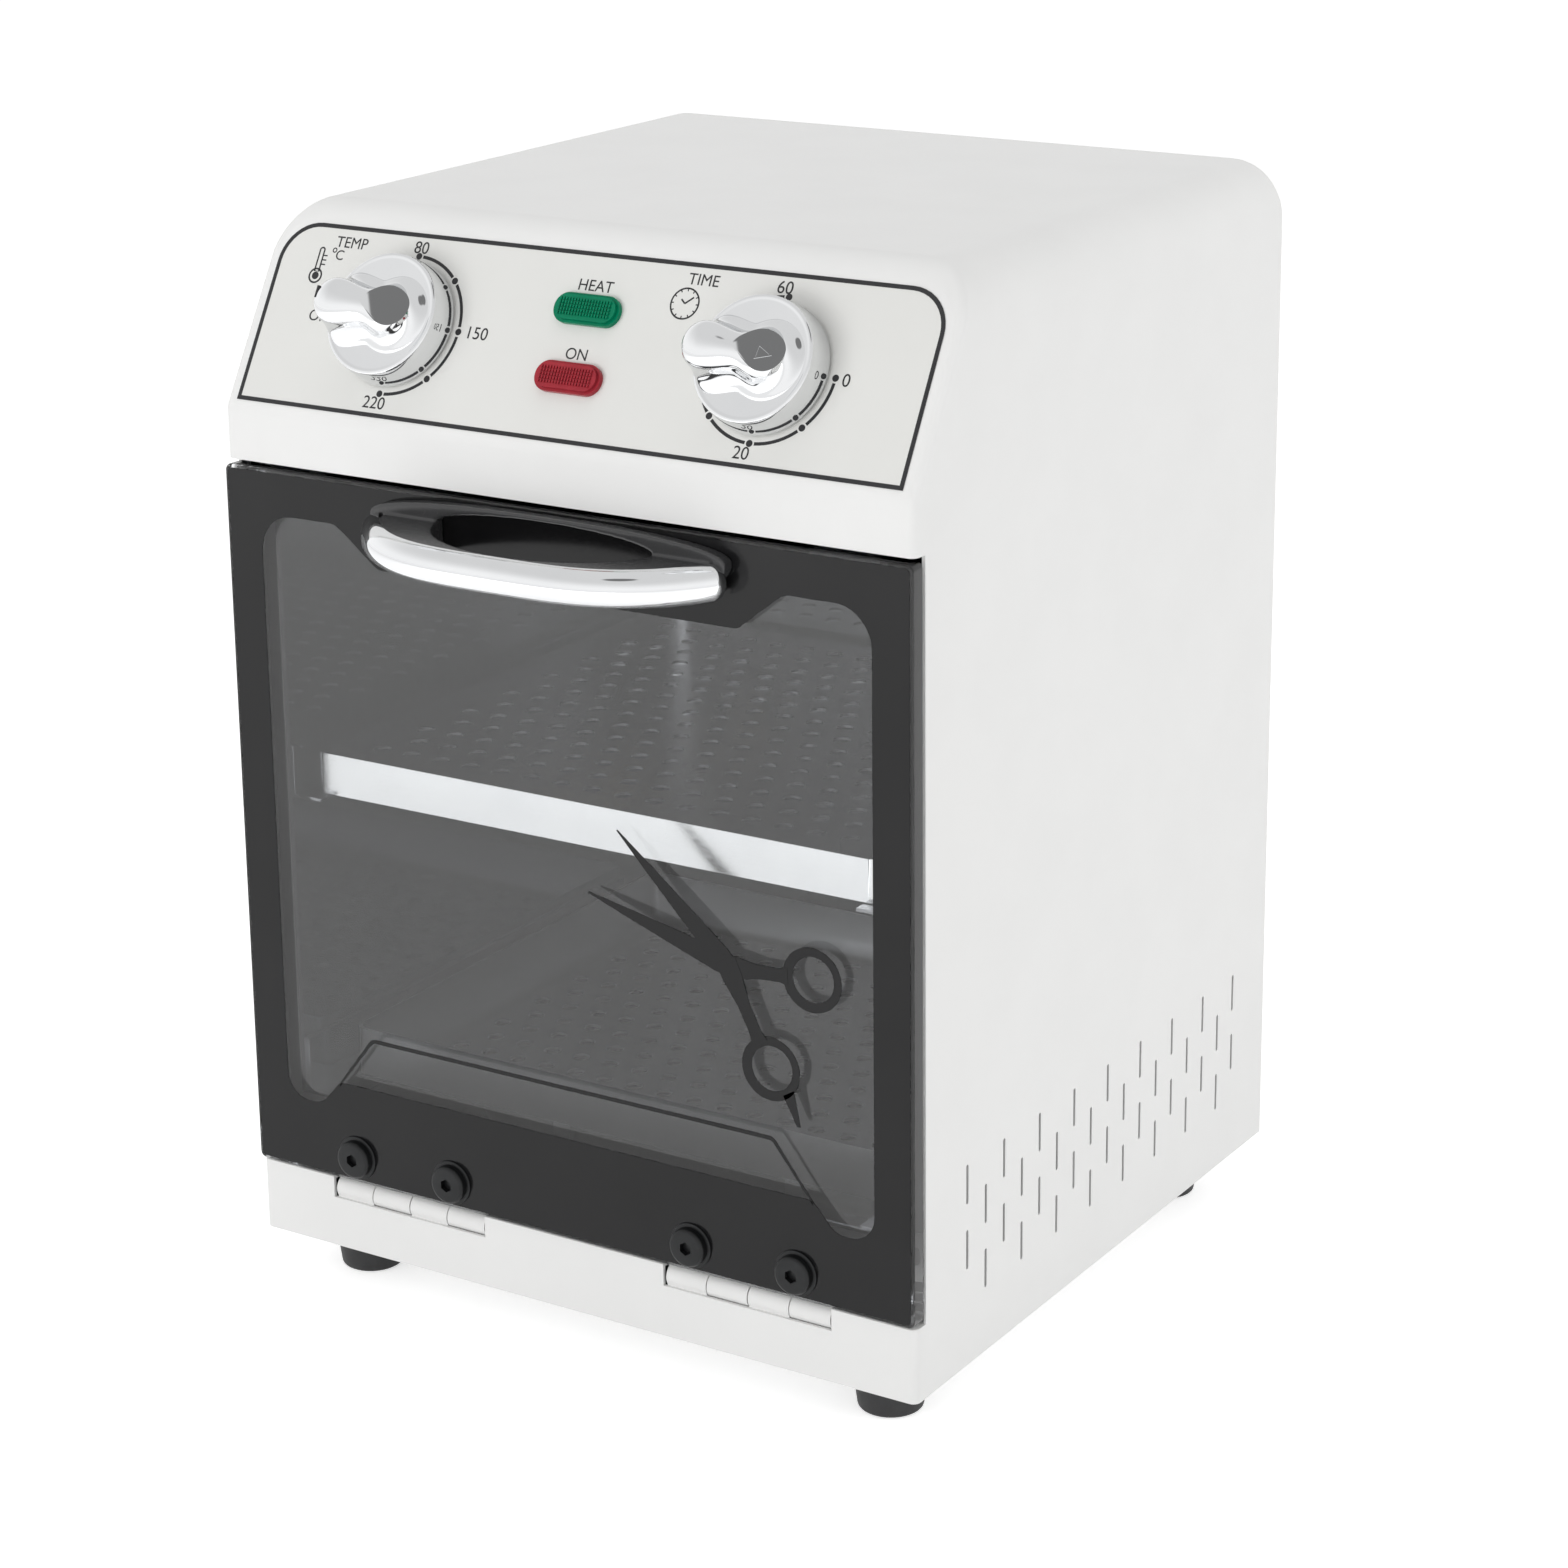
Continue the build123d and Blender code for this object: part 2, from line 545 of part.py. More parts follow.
def chamber_liner():
    """Polished sheet box, open at the front."""
    liner = liner_box(LINER_SHEET, CHAMBER_FRONT_Y, LINER_SHEET) - liner_box(0, CHAMBER_FRONT_Y - 1, 0)
    neck = BUSHING_NECK_RADIUS + FIT
    liner -= [bar_y(x, z, neck, CHAMBER_REAR_Y - 1, LINER_REAR_Y + 1) for x, z in HEATER_PLACES]
    x, y, z = sensor_centre()
    return liner - bar_z(x, y + CAPILLARY_RISE, CAPILLARY_HOLE_RADIUS, z, TOP_Z)


def liner_support(side):
    """Angle that stands on the base pan and holds the liner's side."""
    outer = LINER_X + 1.2
    upright = block(LINER_X, outer, FRONT_Y / 2, BACK_Y / 2, BASE_Z + SHEET, CHAMBER_FLOOR_Z + 15)
    angle = upright + block(LINER_X, INNER_X - 2 * SHEET, FRONT_Y / 2, BACK_Y / 2, BASE_Z + SHEET, BASE_Z + 2 * SHEET)
    return angle if side > 0 else mirror(angle, about=Plane.YZ)


def gasket():
    """Silicone ring on the frame, a running gap short of the glass."""
    inner_x = CHAMBER_X + GASKET_FROM_OPENING
    outer_x = inner_x + GASKET_WIDTH
    low, high = THRESHOLD_Z - 1, CHAMBER_TOP_Z + GASKET_FROM_OPENING
    front = GLASS_REAR_Y + SLIDE_GAP
    ring = block(-outer_x, outer_x, front, FRAME_Y, low - GASKET_WIDTH, high + GASKET_WIDTH)
    ring = fillet(ring.edges().filter_by(Axis.Y), GASKET_WIDTH)
    return ring - block(-inner_x, inner_x, front - 1, FRAME_Y + 1, low, high)


def catch_block(side, y0, y1):
    """Small bar above the gasket, near a top corner of the door."""
    low = CHAMBER_TOP_Z + GASKET_FROM_OPENING + GASKET_WIDTH + 1
    x = side * MAGNET_X
    return block(x - MAGNET_LENGTH / 2, x + MAGNET_LENGTH / 2, y0, y1, low, low + MAGNET_HEIGHT)


def tray(side_gap, front_setback, floor_z, lip, sheet_on_top):
    """Shallow pan, or a table on turned-down lips, with a staggered field of round holes in its sheet."""
    half = CHAMBER_X - side_gap
    front = FRONT_Y + front_setback
    body = block(-half, half, front, TRAY_REAR_Y, floor_z, floor_z + lip)
    body = fillet(body.edges().filter_by(Axis.Z), TRAY_CORNER)
    sheet_z = floor_z + lip - TRAY_SHEET if sheet_on_top else floor_z
    hollow_low, hollow_high = (floor_z - 1, sheet_z) if sheet_on_top else (floor_z + TRAY_SHEET, floor_z + lip + 1)
    hollow = block(-half + TRAY_SHEET, half - TRAY_SHEET, front + TRAY_SHEET, TRAY_REAR_Y - TRAY_SHEET,
                   hollow_low, hollow_high)
    hollow = fillet(hollow.edges().filter_by(Axis.Z), TRAY_CORNER - TRAY_SHEET)
    columns = int((2 * half - TRAY_HOLE_PITCH) / TRAY_HOLE_PITCH)
    rows = int((TRAY_REAR_Y - front - TRAY_HOLE_PITCH) / TRAY_HOLE_PITCH)
    middle_y = (front + TRAY_REAR_Y) / 2
    holes = Sketch()
    discs = []
    for row in range(rows):
        stagger = row % 2
        for column in range(columns - stagger):
            x = (column - (columns - 1 - stagger) / 2) * TRAY_HOLE_PITCH
            y = middle_y + (row - (rows - 1) / 2) * TRAY_HOLE_PITCH
            discs.append(Pos(x, y) * Circle(TRAY_HOLE_RADIUS))
    holes += discs
    drills = Pos(0, 0, sheet_z - 1) * extrude(holes, amount=TRAY_SHEET + 2)
    return body - hollow - drills


def rail(side, floor_z, front, height, lip):
    """Side rail: a wall flange, a shelf under the tray's edge and a short return above."""
    shelf_top = floor_z - SLIDE_GAP
    low = shelf_top - RAIL_SHEET
    rear = CHAMBER_REAR_Y - RAIL_REAR_GAP
    shape = block(CHAMBER_X - RAIL_SHEET, CHAMBER_X, front, rear, low, low + height)
    shape += block(CHAMBER_X - RAIL_FLANGE, CHAMBER_X, front, rear, low, shelf_top)
    shape += block(CHAMBER_X - lip, CHAMBER_X, front, rear, low + height - RAIL_SHEET, low + height)
    return shape if side > 0 else mirror(shape, about=Plane.YZ)


def heater(z):
    """Tubular element bent to a U, with a contact pin at each end."""
    tail_y = LINER_REAR_Y + HEATER_TAIL
    corners = [(-HEATER_X, tail_y, z), (-HEATER_X, HEATER_FRONT_Y, z), (HEATER_X, HEATER_FRONT_Y, z), (HEATER_X, tail_y, z)]
    tube = swept_tube(HEATER_RADIUS, corners, HEATER_BEND)
    for x in (-HEATER_X, HEATER_X):
        tube += bar_y(x, z, HEATER_PIN_RADIUS, tail_y - 1, tail_y + HEATER_PIN_LENGTH)
    return tube


def bushing(x, z):
    """Ceramic sleeve that carries the element through the liner's rear wall."""
    body = bar_y(x, z, BUSHING_RADIUS, LINER_REAR_Y, LINER_REAR_Y + BUSHING_LENGTH)
    body += bar_y(x, z, BUSHING_NECK_RADIUS, CHAMBER_REAR_Y, LINER_REAR_Y)
    return body - bar_y(x, z, HEATER_RADIUS + FIT, 0, BACK_Y)


def heater_clip(x, tube_z, wall_z):
    """Strap that ties the element's cross run to the chamber's floor or ceiling."""
    reach = HEATER_RADIUS + HEATER_CLIP_WALL
    far = tube_z + math.copysign(reach, tube_z - wall_z)
    body = block(x - HEATER_CLIP_WIDTH / 2, x + HEATER_CLIP_WIDTH / 2, HEATER_FRONT_Y - reach,
                 HEATER_FRONT_Y + reach, min(far, wall_z), max(far, wall_z))
    return body - bar_x(HEATER_FRONT_Y, tube_z, HEATER_RADIUS + FIT, x - 10, x + 10)


def control_rear(depth):
    """Middle of a control's rear face, behind the fascia."""
    place = FASCIA * Pos(-DIAL_X, DIAL_UP, -SHEET - CONTROL_PLATE - depth)
    return place.position


def temperature_sensor():
    """Bulb in the chamber with its capillary led up to the thermostat."""
    x, y, z = sensor_centre()
    bulb = bar_y(x, z, BULB_RADIUS, y - BULB_LENGTH, y)
    end = control_rear(THERMOSTAT_DEPTH)
    back = Vector(0, SLOPE_SIN, -SLOPE_COS)
    approach = end + back * 20
    route = [(x, y, z), (x, y + CAPILLARY_RISE, z), (x, y + CAPILLARY_RISE, approach.Z), (x, approach.Y + 25, approach.Z),
             (approach.X, approach.Y, approach.Z), (end.X, end.Y, end.Z)]
    return bulb + swept_tube(CAPILLARY_RADIUS, route, CAPILLARY_BEND)


def sensor_clip(along):
    """Bracket that holds the bulb off the chamber's left wall."""
    x, y, z = sensor_centre()
    middle = y - along * BULB_LENGTH
    body = block(-CHAMBER_X, x + BULB_RADIUS + 1.5, middle - 2, middle + 2, z - 4, z + 4)
    return body - bar_y(x, z, BULB_RADIUS + FIT, FRONT_Y, BACK_Y)


def insulation():
    """Mineral-wool pads round the liner, by node name."""
    base = block(-LINER_X, LINER_X, CHAMBER_FRONT_Y, LINER_REAR_Y, CHAMBER_FLOOR_Z - LINER_SHEET - PAD,
                 CHAMBER_FLOOR_Z - LINER_SHEET)
    top = block(-LINER_X, LINER_X, CHAMBER_FRONT_Y, SHELF_REAR_Y, LINER_TOP_Z, LINER_TOP_Z + PAD)
    rear = block(-LINER_X, LINER_X, LINER_REAR_Y, LINER_REAR_Y + PAD, LOWER_HEATER_Z + PAD_END_GAP, UPPER_HEATER_Z - PAD_END_GAP)
    sides = [block(min(s * LINER_X, s * (LINER_X + PAD)), max(s * LINER_X, s * (LINER_X + PAD)), CHAMBER_FRONT_Y,
                   LINER_REAR_Y, BASE_Z + PAD_SIDE_START, CHAMBER_TOP_Z) for s in (-1, 1)]
    return {"base_insulation": base, "top_insulation": top, "rear_insulation": rear, "side_insulation": all_of(sides)}


# ---------------------------------------------------------------- controls
def shaft_outline(clearance):
    """Round shaft section with one flat."""
    radius = SHAFT_RADIUS + clearance
    flat = Pos(0, SHAFT_RADIUS - SHAFT_FLAT + clearance + radius) * Rectangle(4 * radius, 2 * radius)
    return Circle(radius) - flat


def control_shaft(x):
    """Turning shaft: round in the switch, flatted in the knob."""
    inside = SHEET + CONTROL_PLATE + SHAFT_DEPTH
    shaft = Pos(0, 0, -inside) * extrude(Circle(SHAFT_RADIUS), amount=inside)
    shaft += extrude(shaft_outline(0), amount=KNOB_GAP + KNOB_BORE_DEPTH - FIT)
    return on_fascia(x, DIAL_UP, 0, shaft)


def control_body(x, housing):
    """Switch behind the fascia: a mounting plate and a housing, bored for the shaft."""
    plate = Pos(0, 0, -SHEET - CONTROL_PLATE / 2) * Box(CONTROL_PLATE_WIDTH, CONTROL_PLATE_HEIGHT, CONTROL_PLATE)
    body = plate + Pos(0, 0, -SHEET - CONTROL_PLATE) * housing
    bore_depth = SHEET + CONTROL_PLATE + SHAFT_DEPTH + FIT
    body -= Pos(0, 0, -bore_depth) * extrude(Circle(SHAFT_RADIUS + RUNNING_FIT), amount=bore_depth)
    for side in (-1, 1):
        body -= Pos(side * CONTROL_SCREW_X, 0, -4 * SHEET) * Cylinder(CONTROL_SCREW_RADIUS + FIT, 8 * SHEET)
    return on_fascia(x, DIAL_UP, 0, body)


def thermostat_body():
    """Capillary thermostat with a round housing."""
    housing = Pos(0, 0, -THERMOSTAT_DEPTH / 2) * Cylinder(THERMOSTAT_RADIUS, THERMOSTAT_DEPTH)
    return control_body(-DIAL_X, housing)


def timer_body():
    """Clockwork timer with a square housing."""
    housing = Pos(0, 0, -TIMER_DEPTH / 2) * Box(TIMER_SIDE, TIMER_SIDE, TIMER_DEPTH)
    return control_body(DIAL_X, housing)


def control_screws():
    """Screws that hold both switches, with their heads under the knobs."""
    screws = []
    for x in (-DIAL_X, DIAL_X):
        for side in (-1, 1):
            head = Pos(0, 0, 0.35) * Cylinder(2 * CONTROL_SCREW_RADIUS, 0.7)
            shank = Pos(0, 0, -3 * SHEET) * Cylinder(CONTROL_SCREW_RADIUS, 6 * SHEET)
            screws.append(on_fascia(x + side * CONTROL_SCREW_X, DIAL_UP, 0, head + shank))
    return all_of(screws)


def grip_outline():
    """Plan of the knob's raised grip: round lobe, waist and flared end."""
    lobe = ThreePointArc((GRIP_LOBE_X, GRIP_LOBE_RADIUS), (GRIP_LOBE_X - GRIP_LOBE_RADIUS, 0), (GRIP_LOBE_X, -GRIP_LOBE_RADIUS))
    lower = ThreePointArc(lobe @ 1, (GRIP_WAIST_X, -GRIP_WAIST), (GRIP_FLARE_X, -GRIP_FLARE))
    end = ThreePointArc(lower @ 1, (GRIP_END_X, 0), (GRIP_FLARE_X, GRIP_FLARE))
    upper = ThreePointArc(end @ 1, (GRIP_WAIST_X, GRIP_WAIST), lobe @ 0)
    return make_face([lobe, lower, end, upper])


def knob(x):
    """Chromed knob: a skirt with a domed face and a waisted grip that slopes to one end."""
    rim_start = KNOB_SKIRT_HEIGHT - KNOB_EDGE
    profile = make_face([
        Polyline((0, KNOB_SKIRT_HEIGHT + KNOB_DOME), (0, KNOB_GAP), (KNOB_BASE_RADIUS, KNOB_GAP),
                 (KNOB_RIM_RADIUS, rim_start)),
        RadiusArc((KNOB_RIM_RADIUS, rim_start), (KNOB_RIM_RADIUS - KNOB_EDGE, KNOB_SKIRT_HEIGHT), -KNOB_EDGE),
        Line((KNOB_RIM_RADIUS - KNOB_EDGE, KNOB_SKIRT_HEIGHT), (0, KNOB_SKIRT_HEIGHT + KNOB_DOME)),
    ])
    skirt = revolve(Rot(90, 0, 0) * profile, Axis.Z)
    grip = Pos(0, 0, rim_start) * extrude(grip_outline(), amount=KNOB_HEIGHT - rim_start)
    run = GRIP_END_X - GRIP_SLOPE_START_X
    slope = math.degrees(math.atan2(GRIP_SLOPE_DROP, run))
    cutter = Pos(GRIP_SLOPE_START_X, 0, KNOB_HEIGHT) * Rot(0, slope, 0) * Pos(run, 0, run / 2) * Box(2 * run, 2 * run, run)
    body = skirt + (grip - cutter)
    body -= Pos(0, 0, KNOB_GAP - FIT) * extrude(shaft_outline(FIT), amount=KNOB_BORE_DEPTH + FIT)
    return on_fascia(x, DIAL_UP, 0, body)


def lamp_lens(up):
    """Moulded lens: a round-ended rim with a raised field."""
    lens = extrude(SlotOverall(LAMP_LENGTH, LAMP_HEIGHT), amount=LAMP_RIM)
    lens += extrude(SlotOverall(LAMP_LENGTH - 2 * LAMP_STEP, LAMP_HEIGHT - 2 * LAMP_STEP), amount=LAMP_RISE)
    return on_fascia(LAMP_X, up, 0, lens)


def lamp_housing(up):
    """Lamp body through the fascia, with two snap wings and two contact tabs."""
    body = Pos(0, 0, -LAMP_BODY_DEPTH) * extrude(SlotOverall(LAMP_BODY_LENGTH, LAMP_BODY_HEIGHT), amount=LAMP_BODY_DEPTH)
    body += Pos(0, 0, -SHEET - 1.5) * Box(LAMP_BODY_LENGTH + 2.4, 2.4, 3)
    for side in (-1, 1):
        body += Pos(side * 4, 0, -LAMP_BODY_DEPTH - 3) * Box(0.8, 4, 8)
    return on_fascia(LAMP_X, up, 0, body)


def control_shelf():
    """Shelf over the top insulation that carries the terminal block."""
    shelf = block(-INNER_X, INNER_X, CHAMBER_FRONT_Y, SHELF_REAR_Y, SHELF_Z, SHELF_Z + SHEET)
    for side in (-1, 1):
        outer, inner = side * INNER_X, side * (INNER_X - SHEET)
        shelf += block(min(outer, inner), max(outer, inner), CHAMBER_FRONT_Y, SHELF_REAR_Y, SHELF_Z, SHELF_Z + SHELF_LIP)
    return shelf


def terminal_block():
    """Ceramic terminal block with a screw well and a wire hole for each way."""
    y = SHELF_REAR_Y - TERMINAL_DEPTH
    low = SHELF_Z + SHEET
    body = block(-TERMINAL_LENGTH / 2, TERMINAL_LENGTH / 2, y - TERMINAL_DEPTH / 2, y + TERMINAL_DEPTH / 2,
                 low, low + TERMINAL_HEIGHT)
    for way in range(TERMINAL_WAYS):
        x = (way - (TERMINAL_WAYS - 1) / 2) * TERMINAL_LENGTH / TERMINAL_WAYS
        body -= bar_z(x, y, 2, low + TERMINAL_HEIGHT - 5, low + TERMINAL_HEIGHT + 1)
        body -= bar_y(x, low + TERMINAL_HEIGHT / 2, 1.6, y - TERMINAL_DEPTH, y + TERMINAL_DEPTH)
    return body


def overheat_cutout():
    """Snap-disc thermal cut-out on the liner's ceiling, with its flange and two tabs."""
    y = (SHELF_REAR_Y + LINER_REAR_Y) / 2
    body = bar_z(CUTOUT_X, y, CUTOUT_RADIUS, LINER_TOP_Z, LINER_TOP_Z + CUTOUT_HEIGHT)
    body += block(CUTOUT_X - 12, CUTOUT_X + 12, y - 4, y + 4, LINER_TOP_Z, LINER_TOP_Z + LINER_SHEET)
    for side in (-1, 1):
        x = CUTOUT_X + side * 4
        body += block(x - 0.4, x + 0.4, y - 3, y + 3, LINER_TOP_Z + CUTOUT_HEIGHT - 1, LINER_TOP_Z + CUTOUT_HEIGHT + 7)
    return body


def inlet_pin_places():
    """Places of the three contacts: two level ones and the earth contact above them."""
    return [(INLET_X - PIN_SPACING, INLET_Z - 2), (INLET_X, INLET_Z + 2), (INLET_X + PIN_SPACING, INLET_Z - 2)]


def inlet_pin(x, z):
    """Contact blade that ends in a tab behind the inlet."""
    rear = BACK_Y + INLET_FLANGE
    return block(x - PIN_WIDTH / 2, x + PIN_WIDTH / 2, BACK_Y - INLET_BODY_DEPTH - 8, rear - 4, z - PIN_HEIGHT / 2, z + PIN_HEIGHT / 2)


def power_inlet():
    """Appliance inlet: flange, body and socket."""
    rear = BACK_Y + INLET_FLANGE
    flange = block(INLET_X - INLET_FLANGE_LENGTH / 2, INLET_X + INLET_FLANGE_LENGTH / 2, BACK_Y, rear,
                   INLET_Z - INLET_FLANGE_HEIGHT / 2, INLET_Z + INLET_FLANGE_HEIGHT / 2)
    flange = fillet(flange.edges().filter_by(Axis.Y), INLET_FLANGE_HEIGHT / 4)
    body = flange + block(INLET_X - INLET_BODY_LENGTH / 2, INLET_X + INLET_BODY_LENGTH / 2, BACK_Y - INLET_BODY_DEPTH,
                          BACK_Y, INLET_Z - INLET_BODY_HEIGHT / 2, INLET_Z + INLET_BODY_HEIGHT / 2)
    socket = block(INLET_X - SOCKET_LENGTH / 2, INLET_X + SOCKET_LENGTH / 2, rear - SOCKET_DEPTH, rear + 1,
                   INLET_Z - SOCKET_HEIGHT / 2, INLET_Z + SOCKET_HEIGHT / 2)
    upper_corners = socket.edges().filter_by(Axis.Y).group_by(Axis.Z)[-1]
    body -= chamfer(upper_corners, SOCKET_HEIGHT / 4)
    body -= [inlet_pin(x, z) for x, z in inlet_pin_places()]
    for side in (-1, 1):
        x = INLET_X + side * INLET_SCREW_X
        body -= bar_y(x, INLET_Z, CONTROL_SCREW_RADIUS + FIT, BACK_Y - 1, rear + 1)
        body -= bar_y(x, INLET_Z, 2 * CONTROL_SCREW_RADIUS + FIT, rear - 1.5, rear + 1)
    return body


def inlet_screw(side):
    """Screw sunk in the inlet's flange."""
    x = INLET_X + side * INLET_SCREW_X
    rear = BACK_Y + INLET_FLANGE
    head = bar_y(x, INLET_Z, 2 * CONTROL_SCREW_RADIUS, rear - 1.5, rear - 0.1)
    return head + bar_y(x, INLET_Z, CONTROL_SCREW_RADIUS, BACK_Y - 6, rear - 1.5)


def earth_stud():
    """Earth stud on the rear panel's inner face."""
    x = INLET_X / 3
    return bar_y(x, INLET_Z, 2, PANEL_INNER_Y - 12, PANEL_INNER_Y) + bar_y(x, INLET_Z, 5, PANEL_INNER_Y - 1.5, PANEL_INNER_Y)


def earth_nut():
    """Nut on the earth stud."""
    x = INLET_X / 3
    outer = PANEL_INNER_Y - 1.5
    return hexagon_y(x, INLET_Z, 7, outer - 3.2, outer) - bar_y(x, INLET_Z, 2 + FIT, 0, BACK_Y)


# ---------------------------------------------------------------- door
def door_glass():
    """Pane of tempered glass, drilled for the hinge bolts and the handle's screws."""
    pane = block(-HALF_WIDTH, HALF_WIDTH, GLASS_FRONT_Y, GLASS_REAR_Y, DOOR_BOTTOM_Z, DOOR_TOP_Z)
    pane = fillet(pane.edges().filter_by(Axis.Y), GLASS_CORNER)
    ahead, behind = GLASS_FRONT_Y - 1, GLASS_REAR_Y + 1
    pane -= [bar_y(x, DOOR_BOLT_Z, DOOR_BOLT_RADIUS + BOLT_HOLE_CLEARANCE, ahead, behind) for x in DOOR_BOLT_XS]
    radius = HANDLE_SCREW_RADIUS + BOLT_HOLE_CLEARANCE
    return pane - [bar_y(x, HANDLE_SCREW_Z, radius, ahead, behind) for x in HANDLE_SCREW_XS]


def door_bolt(x):
    """Flat round-headed bolt with a hexagonal socket."""
    head_rear = GLASS_FRONT_Y - WASHER
    head_front = head_rear - BOLT_HEAD
    tip = GLASS_REAR_Y + LEAF + BOLT_NUT + 0.3
    bolt = bar_y(x, DOOR_BOLT_Z, BOLT_HEAD_RADIUS, head_front, head_rear)
    bolt += bar_y(x, DOOR_BOLT_Z, DOOR_BOLT_RADIUS, head_rear, tip)
    return bolt - hexagon_y(x, DOOR_BOLT_Z, 2 * BOLT_SOCKET_RADIUS, head_front - 1, head_front + BOLT_SOCKET_DEPTH)


def door_washer(x):
    """Washer between bolt head and glass."""
    ring = bar_y(x, DOOR_BOLT_Z, WASHER_RADIUS, GLASS_FRONT_Y - WASHER, GLASS_FRONT_Y)
    return ring - bar_y(x, DOOR_BOLT_Z, DOOR_BOLT_RADIUS + FIT, FRONT_Y - 20, BACK_Y)


def door_nut(x):
    """Thin nut behind the hinge leaf."""
    near = GLASS_REAR_Y + LEAF
    nut = hexagon_y(x, DOOR_BOLT_Z, BOLT_NUT_FLATS, near, near + BOLT_NUT)
    return nut - bar_y(x, DOOR_BOLT_Z, DOOR_BOLT_RADIUS + FIT, FRONT_Y, BACK_Y)


def knuckle_spans(centre, first):
    """X spans of every second knuckle of a hinge, counted from first."""
    width = (HINGE_WIDTH - (KNUCKLES - 1) * KNUCKLE_GAP) / KNUCKLES
    left = centre - HINGE_WIDTH / 2
    starts = [left + index * (width + KNUCKLE_GAP) for index in range(first, KNUCKLES, 2)]
    return [(start, start + width) for start in starts]


def hinge_leaf_door(centre):
    """Leaf bolted behind the glass, with its knuckles on the hinge's axis."""
    half = HINGE_WIDTH / 2
    clear = HINGE_Z + HINGE_RADIUS + 2 * SLIDE_GAP
    leaf = block(centre - half, centre + half, HINGE_Y, HINGE_Y + LEAF, clear, BASE_Z + LEAF_TOP)
    for x0, x1 in knuckle_spans(centre, 1):
        leaf += bar_x(HINGE_Y, HINGE_Z, HINGE_RADIUS, x0, x1) + block(x0, x1, HINGE_Y, HINGE_Y + LEAF, HINGE_Z, clear)
    leaf -= bar_x(HINGE_Y, HINGE_Z, HINGE_PIN_RADIUS + RUNNING_FIT, centre - HINGE_WIDTH, centre + HINGE_WIDTH)
    for side in (-1, 1):
        leaf -= bar_y(centre + side * HINGE_BOLT_X, DOOR_BOLT_Z, DOOR_BOLT_RADIUS + FIT, FRONT_Y, BACK_Y)
    return leaf


def hinge_leaf_fixed(centre):
    """Leaf welded behind the sill, with its knuckles on the hinge's axis."""
    half = HINGE_WIDTH / 2
    near = FRONT_Y + SHEET
    far = near + FIXED_LEAF
    sweep_radius = HINGE_RADIUS + SLIDE_GAP
    top = HINGE_Z - math.sqrt(sweep_radius ** 2 - (HINGE_Y - far) ** 2) - FIT
    leaf = block(centre - half, centre + half, near, far, top - FIXED_LEAF_HEIGHT, top)
    for x0, x1 in knuckle_spans(centre, 0):
        leaf += bar_x(HINGE_Y, HINGE_Z, HINGE_RADIUS, x0, x1) + block(x0, x1, near, far, top, HINGE_Z)
    return leaf - bar_x(HINGE_Y, HINGE_Z, HINGE_PIN_RADIUS + FIT, centre - HINGE_WIDTH, centre + HINGE_WIDTH)


def hinge_pin(centre):
    """Pin held in the fixed knuckles."""
    return bar_x(HINGE_Y, HINGE_Z, HINGE_PIN_RADIUS, centre - HINGE_WIDTH / 2, centre + HINGE_WIDTH / 2)


def bow_outline(half_length, reach, z):
    """Plan of the handle: a squared-off bow that starts and ends at the glass."""
    samples = 16
    points = []
    for step in range(samples + 1):
        turn = math.pi * step / samples
        across, out = math.cos(turn), math.sin(turn)
        x = math.copysign(abs(across) ** (2 / HANDLE_EXPONENT), across) * half_length
        points.append((x, GLASS_FRONT_Y - abs(out) ** (2 / HANDLE_EXPONENT) * reach, z))
    curve = Spline(*points)
    return make_face([curve, Line(curve @ 1, curve @ 0)])


def handle_trim():
    """Chromed bow round the handle's front, rounded above and below."""
    outer = extrude(bow_outline(HANDLE_HALF_LENGTH, HANDLE_REACH, HANDLE_Z), amount=HANDLE_HEIGHT, dir=(0, 0, 1))
    outer = fillet(outer.edges().filter_by(GeomType.BSPLINE), HANDLE_ROUND)
    inner = bow_outline(HANDLE_HALF_LENGTH - HANDLE_TRIM, HANDLE_REACH - HANDLE_TRIM, HANDLE_Z - 1)
    return outer - extrude(inner, amount=HANDLE_HEIGHT + 2, dir=(0, 0, 1))


def handle_base(half, bottom):
    """Plate on the glass: narrow between the ends of the trim, wider and arched above them."""
    wide = HANDLE_TOP_Z + FIT
    crest = wide + HANDLE_ARCH_RISE
    full = HANDLE_BASE_HALF_LENGTH
    plate = make_face([
        Polyline((-full, wide), (-half, wide), (-half, bottom), (half, bottom), (half, wide), (full, wide)),
        ThreePointArc((full, wide), (0, crest), (-full, wide)),
    ])
    return Pos(0, GLASS_FRONT_Y, 0) * Rot(90, 0, 0) * extrude(plate, amount=HANDLE_BASE)


